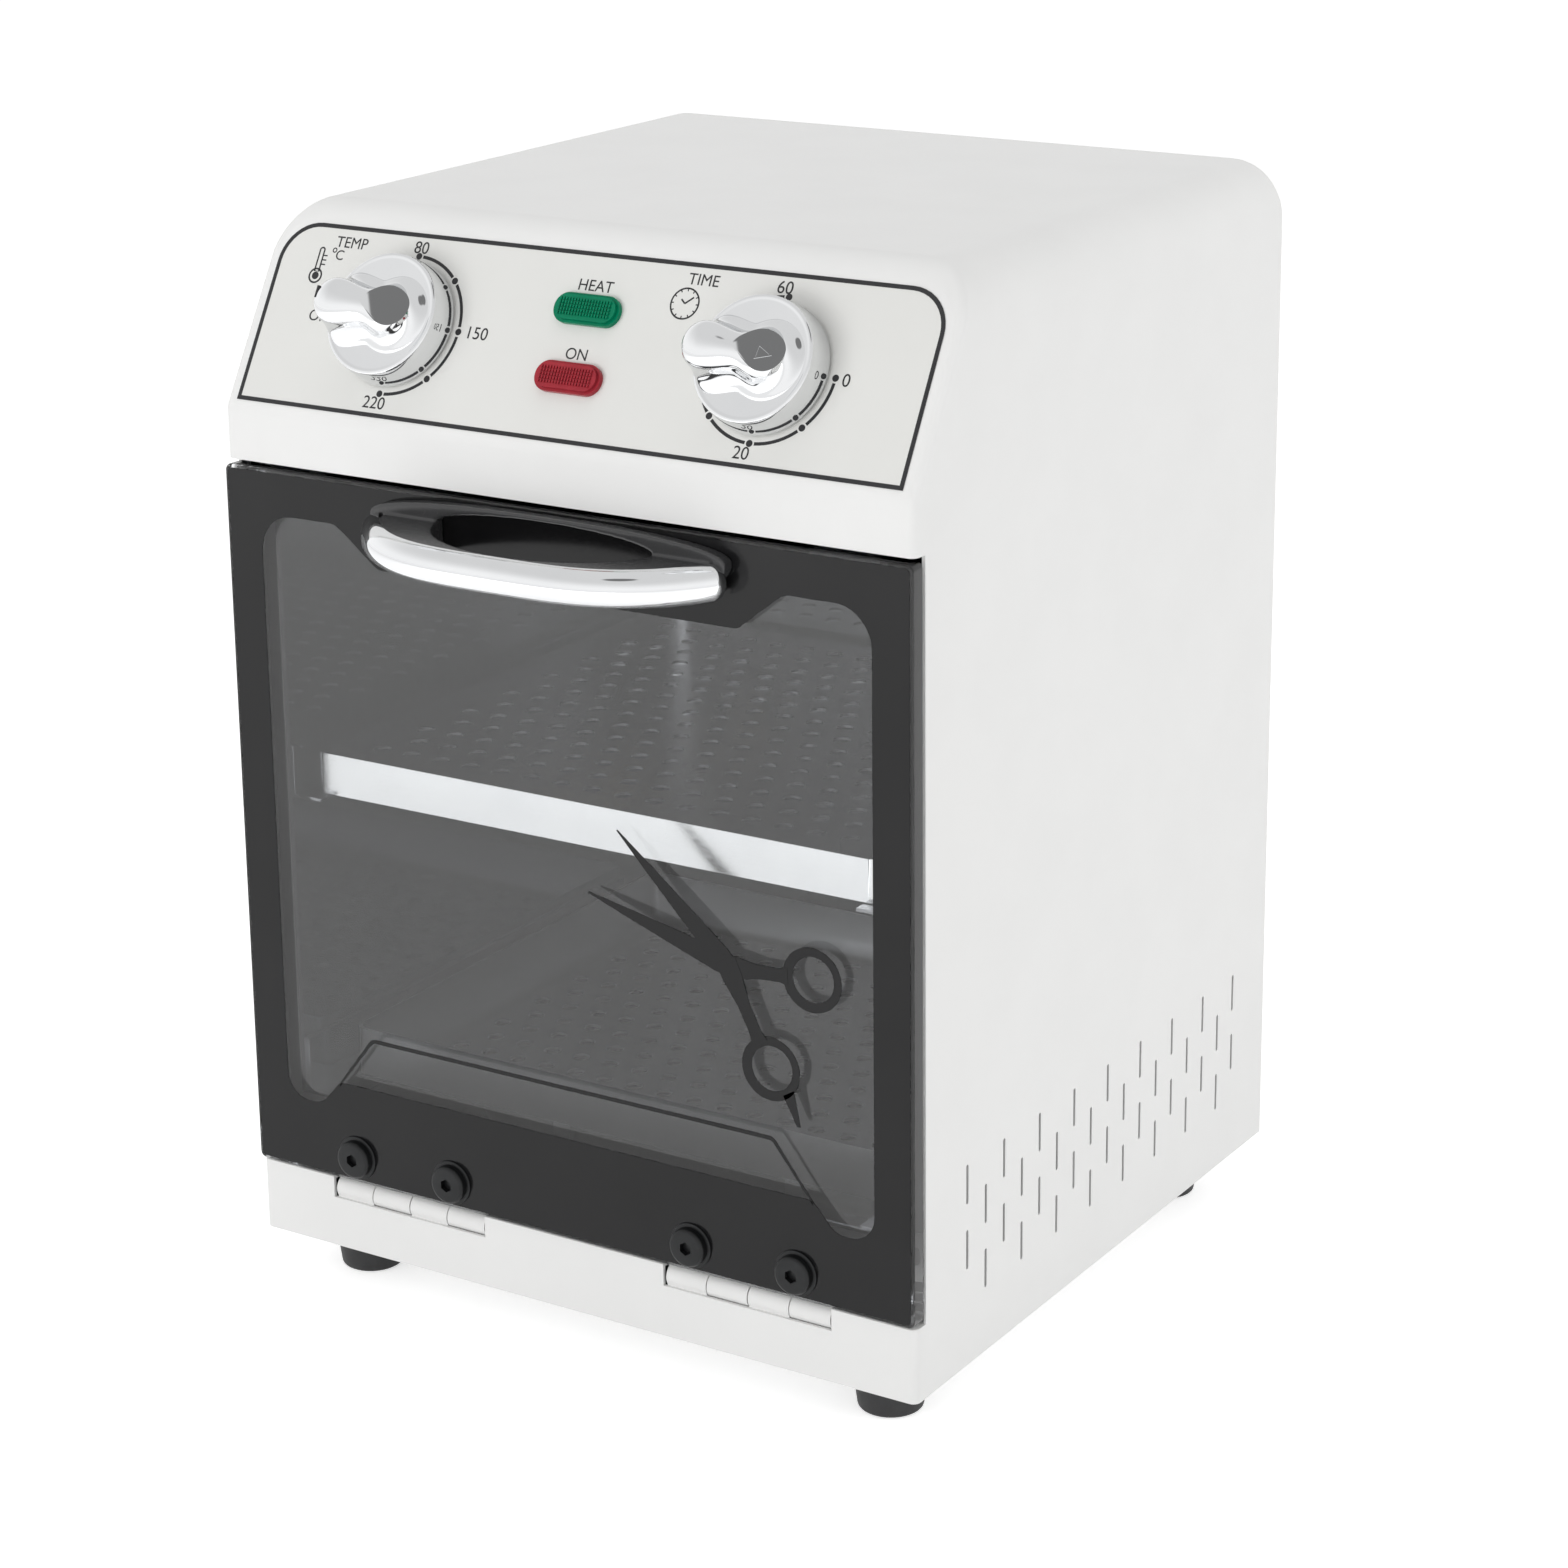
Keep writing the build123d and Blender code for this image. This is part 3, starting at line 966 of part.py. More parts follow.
def handle_body():
    """Black moulding: arched base on the glass, grip with a finger opening, two screw bosses."""
    gap = HANDLE_TRIM + FIT
    low = HANDLE_Z + HANDLE_RECESS
    slab_outline = bow_outline(HANDLE_HALF_LENGTH - gap, HANDLE_REACH - gap, low)
    slab = extrude(slab_outline, amount=HANDLE_HEIGHT - 2 * HANDLE_RECESS, dir=(0, 0, 1))
    bottom = HANDLE_Z - HANDLE_BASE_DROP
    body = slab + handle_base(HANDLE_HALF_LENGTH - gap - SLIDE_GAP, bottom)
    tip = GLASS_FRONT_Y - HANDLE_SCREW_DEPTH
    for x in HANDLE_SCREW_XS:
        body += bar_y(x, HANDLE_SCREW_Z, HANDLE_BOSS_RADIUS, tip - 2, GLASS_FRONT_Y)
    opening_rear = GLASS_FRONT_Y - HANDLE_BASE
    opening_reach = HANDLE_REACH - HANDLE_BASE - FINGER_FRONT_WALL
    bow = Ellipse(FINGER_HALF_LENGTH, opening_reach) & Pos(0, -opening_reach, 0) * Rectangle(
        2 * FINGER_HALF_LENGTH + 2, 2 * opening_reach
    )
    body -= Pos(0, opening_rear, bottom - 1) * extrude(bow, amount=2 * HANDLE_HEIGHT + 10)
    for x in HANDLE_SCREW_XS:
        body -= bar_y(x, HANDLE_SCREW_Z, HANDLE_SCREW_RADIUS + FIT, tip, GLASS_FRONT_Y + 1)
    return body


def handle_screw(x):
    """Screw from behind the glass into the handle."""
    tip = GLASS_FRONT_Y - HANDLE_SCREW_DEPTH + 1
    head = bar_y(x, HANDLE_SCREW_Z, HANDLE_SCREW_HEAD_RADIUS, GLASS_REAR_Y, GLASS_REAR_Y + HANDLE_SCREW_HEAD)
    return head + bar_y(x, HANDLE_SCREW_Z, HANDLE_SCREW_RADIUS, tip, GLASS_REAR_Y)


# ---------------------------------------------------------------- nodes
def chamber_nodes():
    """Liner, frame, seal, rails, trays and heating parts, by node name."""
    upper_walls = [(x, UPPER_HEATER_Z, CHAMBER_TOP_Z) for x in (-HEATER_CLIP_X, HEATER_CLIP_X)]
    lower_walls = [(x, LOWER_HEATER_Z, CHAMBER_FLOOR_Z) for x in (-HEATER_CLIP_X, HEATER_CLIP_X)]
    return {
        "front_frame": front_frame(),
        "chamber_liner": chamber_liner(),
        "liner_supports": all_of([liner_support(side) for side in (-1, 1)]),
        "door_gasket": gasket(),
        "door_magnets": all_of([catch_block(side, GLASS_REAR_Y + STRIKE_THICKNESS + SLIDE_GAP, FRAME_Y) for side in (-1, 1)]),
        "upper_tray": tray(UPPER_TRAY_SIDE_GAP, UPPER_TRAY_FRONT, UPPER_TRAY_Z, UPPER_TRAY_LIP, True),
        "lower_tray": tray(LOWER_TRAY_SIDE_GAP, LOWER_TRAY_FRONT, LOWER_TRAY_Z, LOWER_TRAY_LIP, False),
        "upper_tray_rails": all_of([rail(side, UPPER_TRAY_Z, FRAME_Y, RAIL_HEIGHT, RAIL_LIP) for side in (-1, 1)]),
        "lower_tray_rails": all_of([rail(side, LOWER_TRAY_Z, CHAMBER_FRONT_Y, RAIL_HEIGHT, RAIL_SHEET) for side in (-1, 1)]),
        "upper_heater": heater(UPPER_HEATER_Z),
        "lower_heater": heater(LOWER_HEATER_Z),
        "heater_bushings": all_of([bushing(x, z) for x, z in HEATER_PLACES]),
        "heater_clips": all_of([heater_clip(*place) for place in upper_walls + lower_walls]),
        "temperature_sensor": temperature_sensor(),
        "sensor_clips": all_of([sensor_clip(along) for along in (0.2, 0.8)]),
        **insulation(),
    }


def casing_nodes():
    """Outer sheets, feet and rear parts, by node name."""
    return {
        "outer_shell": outer_shell(),
        "base_pan": base_pan(),
        "rear_panel": rear_panel(),
        "rear_screws": rear_screws(),
        "feet": all_of([foot(x, y) for x, y in FOOT_PLACES]),
        "foot_screws": all_of([foot_screw(x, y) for x, y in FOOT_PLACES]),
        "foot_nuts": all_of([foot_nut(x, y) for x, y in FOOT_PLACES]),
        "power_inlet": power_inlet(),
        "inlet_pins": all_of([inlet_pin(x, z) for x, z in inlet_pin_places()]),
        "inlet_screws": all_of([inlet_screw(side) for side in (-1, 1)]),
        "earth_stud": earth_stud(),
        "earth_nut": earth_nut(),
    }


def control_nodes():
    """Switches, knobs, lamps and what the shelf carries, by node name."""
    return {
        "thermostat_body": thermostat_body(),
        "thermostat_shaft": control_shaft(-DIAL_X),
        "temperature_knob": knob(-DIAL_X),
        "timer_body": timer_body(),
        "timer_shaft": control_shaft(DIAL_X),
        "timer_knob": knob(DIAL_X),
        "control_screws": control_screws(),
        "green_lamp_lens": lamp_lens(GREEN_LAMP_UP),
        "red_lamp_lens": lamp_lens(RED_LAMP_UP),
        "lamp_housings": all_of([lamp_housing(up) for up in (GREEN_LAMP_UP, RED_LAMP_UP)]),
        "control_shelf": control_shelf(),
        "terminal_block": terminal_block(),
        "overheat_cutout": overheat_cutout(),
    }


def door_nodes():
    """Pane, handle, hinges and their fasteners, by node name."""
    return {
        "door_glass": door_glass(),
        "door_bolts": all_of([door_bolt(x) for x in DOOR_BOLT_XS]),
        "door_washers": all_of([door_washer(x) for x in DOOR_BOLT_XS]),
        "door_nuts": all_of([door_nut(x) for x in DOOR_BOLT_XS]),
        "hinge_leaves_door": all_of([hinge_leaf_door(centre) for centre in HINGE_CENTRES]),
        "hinge_leaves_fixed": all_of([hinge_leaf_fixed(centre) for centre in HINGE_CENTRES]),
        "hinge_pins": all_of([hinge_pin(centre) for centre in HINGE_CENTRES]),
        "strike_plates": all_of([catch_block(side, GLASS_REAR_Y, GLASS_REAR_Y + STRIKE_THICKNESS) for side in (-1, 1)]),
        "handle_body": handle_body(),
        "handle_trim": handle_trim(),
        "handle_screws": all_of([handle_screw(x) for x in HANDLE_SCREW_XS]),
    }


def main():
    """Write every node to parts/ in the object's own frame."""
    os.makedirs("parts", exist_ok=True)
    for group in (casing_nodes(), chamber_nodes(), control_nodes(), door_nodes()):
        for name, shape in group.items():
            export_step(Pos(0, ORIGIN_SHIFT, 0) * shape, f"parts/{name}.step")


main()
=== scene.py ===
"""Looks of a bench-top dry heat sterilizer, built round its packed construction.

White powder-coated cabinet, drop-down glass door with a bow handle, two perforated trays, a sloped panel
with two chromed dials and two lamps. Sizes in the classes are millimetres; every mesh is in metres in the
row frame.
"""

import json
import logging
import math
from collections.abc import Callable, Iterator, Sequence
from contextlib import contextmanager
from dataclasses import dataclass, field
from enum import Enum

import bmesh
import bpy
from mathutils import Matrix, Vector


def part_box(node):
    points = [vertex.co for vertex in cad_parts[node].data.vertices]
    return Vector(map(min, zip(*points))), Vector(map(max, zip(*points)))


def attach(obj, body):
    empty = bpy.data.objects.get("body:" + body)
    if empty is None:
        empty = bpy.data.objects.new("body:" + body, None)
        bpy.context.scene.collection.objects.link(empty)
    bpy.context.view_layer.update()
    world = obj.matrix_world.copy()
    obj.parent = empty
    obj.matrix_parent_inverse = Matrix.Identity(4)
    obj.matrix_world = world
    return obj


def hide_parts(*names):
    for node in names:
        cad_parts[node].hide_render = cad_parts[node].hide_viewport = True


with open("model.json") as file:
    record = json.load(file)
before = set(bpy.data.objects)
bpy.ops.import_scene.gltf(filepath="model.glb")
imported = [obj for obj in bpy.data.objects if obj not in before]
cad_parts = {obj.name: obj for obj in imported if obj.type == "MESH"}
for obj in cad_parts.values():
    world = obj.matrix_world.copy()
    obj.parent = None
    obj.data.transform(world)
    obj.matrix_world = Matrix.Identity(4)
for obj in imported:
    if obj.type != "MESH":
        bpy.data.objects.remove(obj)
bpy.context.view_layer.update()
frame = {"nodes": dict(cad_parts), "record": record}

MM = 0.001
LOG = logging.getLogger("sterilizer")

# How near, in millimetres, a point lies to a level that it counts as being on.
NEAR = 0.05
# How straight a face looks along an axis that it counts as facing it.
FACING = 0.99
# Capital height as a share of the type size of Blender's own font.
CAPITAL_SHARE = 0.69
# Points nearer than this, in metres, are one point: in a drawn outline, and in a construction node's mesh.
OUTLINE_WELD, NODE_WELD = 0.00001, 0.000002

RIGHT, BACK, UP = Vector((1, 0, 0)), Vector((0, 1, 0)), Vector((0, 0, 1))

# A scene object; a test on an edge's ends or on a face's middle and normal; what feeds a shader's inputs.
Piece = bpy.types.Object
Test = Callable[[Vector, Vector], bool]
Sockets = dict[str, bpy.types.NodeSocket]


class Body(Enum):
    """Rigid bodies that pieces ride on."""

    CABINET = "cabinet"
    DOOR = "door"
    UPPER_TRAY = "upper_tray_body"
    LOWER_TRAY = "lower_tray_body"
    TEMPERATURE = "temperature_dial"
    TIMER = "timer_dial"


# ---------------------------------------------------------------- modelling helpers
def low_high(node: str) -> tuple[Vector, Vector]:
    """Lowest and highest corner of a construction node, in millimetres."""
    low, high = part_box(node)
    return low / MM, high / MM


def deselect() -> None:
    """Leave nothing selected."""
    for piece in list(bpy.context.selected_objects):
        piece.select_set(False)


def activate(piece: Piece) -> Piece:
    """Select one piece alone and make it active.

    Args:
        piece: the piece.

    Returns:
        The same piece.
    """
    deselect()
    piece.select_set(True)
    bpy.context.view_layer.objects.active = piece
    return piece


def settle(piece: Piece) -> Piece:
    """Put a piece's place, turn and scale into its mesh.

    Args:
        piece: the piece.

    Returns:
        The same piece.
    """
    activate(piece)
    bpy.ops.object.transform_apply(location=True, rotation=True, scale=True)
    return piece


def named_active(name: str) -> Piece:
    """Name the object that an operator has just added, and its mesh.

    Args:
        name: the piece's name.

    Returns:
        The named object.
    """
    piece = bpy.context.active_object
    piece.name = name
    piece.data.name = name
    return piece


def linked(name: str, data: bpy.types.ID) -> Piece:
    """Make an object that shows some data, and put it in the scene.

    Args:
        name: the object's name.
        data: its mesh, curve, text, lamp or camera.

    Returns:
        The new object.
    """
    piece = bpy.data.objects.new(name, data)
    bpy.context.scene.collection.objects.link(piece)
    return piece


def add_block(name: str, low: Sequence[float], high: Sequence[float]) -> Piece:
    """Box between two corners given in millimetres.

    Args:
        name: the piece's name.
        low: lowest corner.
        high: highest corner.

    Returns:
        The new mesh object.
    """
    deselect()
    middle = [(a + b) / 2 * MM for a, b in zip(low, high)]
    bpy.ops.mesh.primitive_cube_add(size=1, location=middle)
    piece = named_active(name)
    piece.scale = [(b - a) * MM for a, b in zip(low, high)]
    return settle(piece)


def add_bar(name: str, start: Vector, end: Vector, radius: float, sides: int = 48) -> Piece:
    """Round bar between two points given in millimetres.

    Args:
        name: the piece's name.
        start: middle of its first end.
        end: middle of its other end.
        radius: its radius in millimetres.
        sides: number of flats round it.

    Returns:
        The new mesh object.
    """
    deselect()
    run = end - start
    turn = UP.rotation_difference(run).to_euler()
    bpy.ops.mesh.primitive_cylinder_add(
        vertices=sides,
        radius=radius * MM,
        depth=run.length * MM,
        location=(start + end) / 2 * MM,
        rotation=turn,
    )
    return settle(named_active(name))


@contextmanager
def editing(piece: Piece, mode: str = "EDGE") -> Iterator[Piece]:
    """Hold a piece in edit mode with nothing selected.

    Args:
        piece: the piece to edit.
        mode: what is picked: VERT, EDGE or FACE.

    Returns:
        A context that yields the piece.
    """
    activate(piece)
    bpy.ops.object.mode_set(mode="EDIT")
    bpy.ops.mesh.select_mode(type=mode)
    bpy.ops.mesh.select_all(action="DESELECT")
    yield piece
    bpy.ops.object.mode_set(mode="OBJECT")


def pick_edges(piece: Piece, wanted: Test) -> None:
    """Select edges of a piece that is in edit mode.

    Args:
        piece: the piece.
        wanted: whether to take an edge, from its two ends in millimetres.
    """
    mesh = bmesh.from_edit_mesh(piece.data)
    for edge in mesh.edges:
        edge.select_set(bool(wanted(edge.verts[0].co / MM, edge.verts[1].co / MM)))
    bmesh.update_edit_mesh(piece.data)


def pick_faces(piece: Piece, wanted: Test) -> None:
    """Select faces of a piece that is in edit mode.

    Args:
        piece: the piece.
        wanted: whether to take a face, from its middle in millimetres and its normal.
    """
    mesh = bmesh.from_edit_mesh(piece.data)
    mesh.normal_update()
    for face in mesh.faces:
        face.select_set(bool(wanted(face.calc_center_median() / MM, face.normal)))
    bmesh.update_edit_mesh(piece.data)


def bevel_edges(piece: Piece, wanted: Test, radius: float, segments: int) -> None:
    """Round the edges that pass a test.

    Args:
        piece: the piece.
        wanted: whether to take an edge, from its two ends in millimetres.
        radius: radius in millimetres.
        segments: number of flats along the round.
    """
    with editing(piece):
        pick_edges(piece, wanted)
        bpy.ops.mesh.bevel(
            offset=radius * MM, segments=segments, profile=0.5, affect="EDGES", clamp_overlap=True
        )


def delete_faces(piece: Piece, wanted: Test) -> None:
    """Delete the faces that pass a test on their middle, in millimetres, and normal.

    Args:
        piece: the piece.
        wanted: the test.
    """
    with editing(piece, "FACE"):
        pick_faces(piece, wanted)
        bpy.ops.mesh.delete(type="FACE")


def extrude(move: Sequence[float]) -> None:
    """Pull what is selected in edit mode out, by millimetres along each axis."""
    bpy.ops.mesh.extrude_region_move(TRANSFORM_OT_translate={"value": [part * MM for part in move]})


def turn_faces_out() -> None:
    """Turn every face of the piece in edit mode outwards."""
    bpy.ops.mesh.select_all(action="SELECT")
    bpy.ops.mesh.normals_make_consistent(inside=False)


def use_modifier(piece: Piece, kind: str, **settings: object) -> Piece:
    """Add one modifier and apply it.

    Args:
        piece: the piece.
        kind: the modifier's type.
        settings: the modifier's own properties.

    Returns:
        The same piece.
    """
    activate(piece)
    modifier = piece.modifiers.new(kind.title(), kind)
    for key, value in settings.items():
        setattr(modifier, key, value)
    bpy.ops.object.modifier_apply(modifier=modifier.name)
    return piece


def round_sharp(piece: Piece, radius: float, segments: int = 2, angle: float = 40) -> Piece:
    """Soften every sharp edge of a piece.

    Args:
        piece: the piece.
        radius: radius in millimetres.
        segments: number of flats along the round.
        angle: edges sharper than this are softened, in degrees.

    Returns:
        The same piece.
    """
    limit = {"limit_method": "ANGLE", "angle_limit": math.radians(angle)}
    return use_modifier(piece, "BEVEL", width=radius * MM, segments=segments, **limit)


def give_wall(piece: Piece, thickness: float) -> Piece:
    """Give an open skin a sheet's thickness in millimetres, inwards, and return it."""
    return use_modifier(piece, "SOLIDIFY", thickness=thickness * MM, offset=-1.0, use_even_offset=True)


def weld(piece: Piece, distance: float = OUTLINE_WELD) -> Piece:
    """Merge the points of a piece that are nearer than a distance in metres, and return it."""
    return use_modifier(piece, "WELD", merge_threshold=distance)


def close(piece: Piece) -> Piece:
    """Merge a drawn piece's doubles and turn its faces outwards.

    Args:
        piece: the piece.

    Returns:
        The same piece.
    """
    weld(piece)
    with editing(piece, "FACE"):
        turn_faces_out()
    return piece


def join(name: str, pieces: Sequence[Piece]) -> Piece:
    """Join several pieces into one object.

    Args:
        name: the new object's name.
        pieces: the pieces, which are used up.

    Returns:
        The joined object.
    """
    deselect()
    for piece in pieces:
        piece.select_set(True)
    bpy.context.view_layer.objects.active = pieces[0]
    bpy.ops.object.join()
    return named_active(name)


def cut(piece: Piece, cutters: Sequence[Piece]) -> Piece:
    """Cut closed shapes out of a piece and remove the shapes.

    Args:
        piece: the piece to cut.
        cutters: the shapes, which are used up.

    Returns:
        The same piece.
    """
    tool = join("cutter", list(cutters)) if len(cutters) > 1 else cutters[0]
    use_modifier(piece, "BOOLEAN", operation="DIFFERENCE", solver="EXACT", use_self=True, object=tool)
    bpy.data.objects.remove(tool)
    return piece


def smooth(piece: Piece, angle: float) -> Piece:
    """Shade a piece smooth.

    Args:
        piece: the piece.
        angle: edges sharper than this stay crisp, in degrees.

    Returns:
        The same piece.
    """
    activate(piece)
    bpy.ops.object.shade_smooth_by_angle(angle=math.radians(angle))
    return piece


def flatten_shading(piece: Piece) -> Piece:
    """Let large flat faces shade flat, so that only the small rounds beside them bend a reflection."""
    return use_modifier(piece, "WEIGHTED_NORMAL", mode="FACE_AREA", weight=100, keep_sharp=True)


def copy_of(piece: Piece, move: Vector) -> Piece:
    """Copy a piece with its own mesh.

    Args:
        piece: the piece to copy.
        move: how far the copy is moved, in millimetres.

    Returns:
        The copy.
    """
    twin = linked(piece.name, piece.data.copy())
    twin.data.transform(Matrix.Translation(move * MM))
    return twin


def put_on(piece: Piece, plane: Matrix) -> Piece:
    """Move a finished mesh from its own flat onto a plane given in millimetres, and return it."""
    piece.data.transform(Matrix.Scale(MM, 4) @ plane @ Matrix.Scale(1 / MM, 4))
    return piece


# ---------------------------------------------------------------- outlines and flat pieces
def unit(angle: float) -> Vector:
    """Direction in the flat at an angle in radians, anticlockwise from x."""
    return Vector((math.cos(angle), math.sin(angle)))


def ease(share: float) -> float:
    """Share from 0 to 1 that starts and ends gently."""
    return share * share * (3 - 2 * share)


def squared(value: float, power: float) -> float:
    """Power of a number that keeps its sign, as a superellipse needs."""
    return math.copysign(abs(value) ** power, value)


def arc_points(centre: Vector, radius: float, start: float, end: float, steps: int) -> list[Vector]:
    """Points along an arc in the flat.

    Args:
        centre: the arc's middle, in millimetres.
        radius: its radius in millimetres.
        start: where it starts, in degrees.
        end: where it ends, in degrees.
        steps: number of straight runs.

    Returns:
        The points, with both ends.
    """
    angles = [math.radians(start + (end - start) * step / steps) for step in range(steps + 1)]
    return [centre + radius * unit(angle) for angle in angles]


def circle(centre: Vector, radius: float, sides: int) -> list[Vector]:
    """Closed outline of a circle in the flat.

    Args:
        centre: the circle's middle, in millimetres.
        radius: its radius in millimetres.
        sides: number of flats round it.

    Returns:
        The outline's points.
    """
    return arc_points(centre, radius, 0, 360 * (sides - 1) / sides, sides - 1)


def half_ellipse(across: float, rise: float, level: float, steps: int) -> list[Vector]:
    """Upper half of an ellipse that stands on a level, from right to left.

    Args:
        across: half its width in millimetres.
        rise: its height over the level in millimetres.
        level: the level.
        steps: number of straight runs.

    Returns:
        The points, with both ends.
    """
    turns = [unit(math.pi * step / steps) for step in range(steps + 1)]
    return [Vector((across * turn.x, level + rise * turn.y)) for turn in turns]


def rounded(corners: Sequence[tuple[float, float, float]], steps: int = 8) -> list[Vector]:
    """Closed outline through corners given as x, y and a rounding radius.

    Args:
        corners: x, y and radius of each corner, in millimetres.
        steps: straight runs per rounded corner.

    Returns:
        The outline's points.
    """
    outline: list[Vector] = []
    count = len(corners)
    for index, (x, y, radius) in enumerate(corners):
        here = Vector((x, y))
        if radius <= 0:
            outline.append(here)
            continue
        before = (Vector(corners[index - 1][:2]) - here).normalized()
        after = (Vector(corners[(index + 1) % count][:2]) - here).normalized()
        half = before.angle(after) / 2
        reach = radius / math.tan(half)
        centre = here + (before + after).normalized() * radius / math.sin(half)
        first, last = here + before * reach - centre, here + after * reach - centre
        start = math.atan2(first.y, first.x)
        sweep = math.remainder(math.atan2(last.y, last.x) - start, math.tau)
        outline += [centre + radius * unit(start + sweep * step / steps) for step in range(steps + 1)]
    return outline


def oblong(
    low: Sequence[float], high: Sequence[float], foot: float, crown: float, steps: int = 8
) -> list[Vector]:
    """Closed outline of an oblong with rounded corners.

    Args:
        low: x and y of its lowest corner, in millimetres.
        high: x and y of its highest corner.
        foot: radius of its two lower corners, or 0.
        crown: radius of its two upper corners, or 0.
        steps: straight runs per rounded corner.

    Returns:
        The outline's points.
    """
    lower = [(low[0], low[1], foot), (high[0], low[1], foot)]
    upper = [(high[0], high[1], crown), (low[0], high[1], crown)]
    return rounded(lower + upper, steps)


def offset_outline(outline: Sequence[Vector], distance: float) -> list[Vector]:
    """Move each point of an anticlockwise outline outwards along its own normal.

    Args:
        outline: the outline's points.
        distance: how far, in the outline's own unit.

    Returns:
        The moved points.
    """
    moved = []
    count = len(outline)
    for index, point in enumerate(outline):
        along = outline[(index + 1) % count] - outline[index - 1]
        moved.append(point + Vector((along.y, -along.x)).normalized() * distance)
    return moved


def flat_to_row(origin: Vector, right: Vector, up: Vector, out: Vector) -> Matrix:
    """Place a flat in the row frame.

    Args:
        origin: where the flat's origin lies, in millimetres.
        right: where its x points.
        up: where its y points.
        out: where its front looks.

    Returns:
        The matrix from the flat to the row frame.
    """
    turn = Matrix((right, up, out)).transposed().to_4x4()
    return Matrix.Translation(origin) @ turn


def placed_flat(piece: Piece, place: Vector, plane: Matrix, thickness: float) -> Piece:
    """Turn a flat curve or text into a mesh that stands on its plane.

    Args:
        piece: the curve or text, drawn in millimetres.
        place: where on the plane its origin goes, in millimetres.
        plane: from its flat to the row frame, in millimetres.
        thickness: how far it stands on the plane, in millimetres.

    Returns:
        The mesh object, with its place in its mesh.
    """
    piece.data.extrude = thickness / 2
    activate(piece)
    bpy.ops.object.convert(target="MESH")
    made = bpy.context.active_object
    made.data.name = made.name
    standing = plane @ Matrix.Translation((place.x, place.y, thickness / 2))
    made.data.transform(Matrix.Scale(MM, 4) @ standing)
    made.data.validate()
    return made


def flat_piece(name: str, outlines: Sequence[Sequence[Vector]], plane: Matrix, thickness: float) -> Piece:
    """Thin flat piece with holes, as printed or punched.

    Args:
        name: the piece's name.
        outlines: closed outlines in millimetres; one inside another makes a hole.
        plane: from the outline's flat to the row frame, in millimetres.
        thickness: how far it stands on the plane, in millimetres.

    Returns:
        The new mesh object, with its place in its mesh.
    """
    curve = bpy.data.curves.new(name, "CURVE")
    curve.dimensions = "2D"
    curve.fill_mode = "BOTH"
    for outline in outlines:
        spline = curve.splines.new("POLY")
        spline.points.add(len(outline) - 1)
        for point, place in zip(spline.points, outline):
            point.co = (place.x, place.y, 0, 1)
        spline.use_cyclic_u = True
    return placed_flat(linked(name, curve), Vector((0, 0)), plane, thickness)


def flat_text(words: str, place: Vector, height: float, plane: Matrix, thickness: float) -> Piece:
    """Printed characters, centred on a place of a plane.

    Args:
        words: what it says.
        place: middle of the words on the plane, in millimetres.
        height: capital height in millimetres.
        plane: from the plane to the row frame, in millimetres.
        thickness: print thickness in millimetres.

    Returns:
        The new mesh object.
    """
    text = bpy.data.curves.new("caption", "FONT")
    text.body = words
    text.align_x = "CENTER"
    text.align_y = "CENTER"
    text.size = height / CAPITAL_SHARE
    return placed_flat(linked("caption", text), place, plane, thickness)


def loft(name: str, rings: Sequence[Sequence[Vector]], crested: bool = False) -> Piece:
    """Closed skin through rings of equally many points, capped at both ends.

    Args:
        name: the piece's name.
        rings: rings from bottom to top, in millimetres, each run anticlockwise seen from above.
        crested: whether the last ring is closed by strips between its mirrored points, in place of one flat
            cap. Its first point and its middle point then lie on the crest line.

    Returns:
        The new mesh object.
    """
    mesh = bmesh.new()
    levels = [[mesh.verts.new(point * MM) for point in ring] for ring in rings]
    count = len(rings[0])
    for below, above in zip(levels, levels[1:]):
        for index in range(count):
            after = (index + 1) % count
            mesh.faces.new((below[index], below[after], above[after], above[index]))
    mesh.faces.new(list(reversed(levels[0])))
    last = levels[-1]
    if crested:
        for index in range(count // 2):
            across = (count - index - 1) % count, (count - index) % count
            strip = [last[index], last[index + 1], last[across[0]], last[across[1]]]
            mesh.faces.new(list(dict.fromkeys(strip)))
    else:
        mesh.faces.new(last)
    data = bpy.data.meshes.new(name)
    mesh.to_mesh(data)
    mesh.free()
    return linked(name, data)


def blended(name: str, pieces: Sequence[Piece], voxel: float, rounds: int) -> Piece:
    """Melt closed pieces into one moulding with soft inner and outer corners.

    Args:
        name: the moulding's name.
        pieces: closed meshes that overlap.
        voxel: remeshing size in millimetres.
        rounds: how often the skin is smoothed.

    Returns:
        The moulding.
    """
    piece = join(name, pieces)
    use_modifier(piece, "REMESH", mode="VOXEL", voxel_size=voxel * MM, adaptivity=0.0)
    use_modifier(piece, "SMOOTH", factor=0.5, iterations=rounds)
    activate(piece)
    bpy.ops.object.shade_smooth()
    return piece


# ---------------------------------------------------------------- finishes
def linear(colour: str) -> tuple[float, float, float, float]:
    """Turn an sRGB hex colour into linear RGBA.

    Args:
        colour: such as "#E6E6E4".

    Returns:
        Red, green and blue from 0 to 1, and 1.
    """
    channels = [int(colour[start:start + 2], 16) / 255 for start in (1, 3, 5)]
    red, green, blue = (c / 12.92 if c <= 0.04045 else ((c + 0.055) / 1.055) ** 2.4 for c in channels)
    return red, green, blue, 1.0


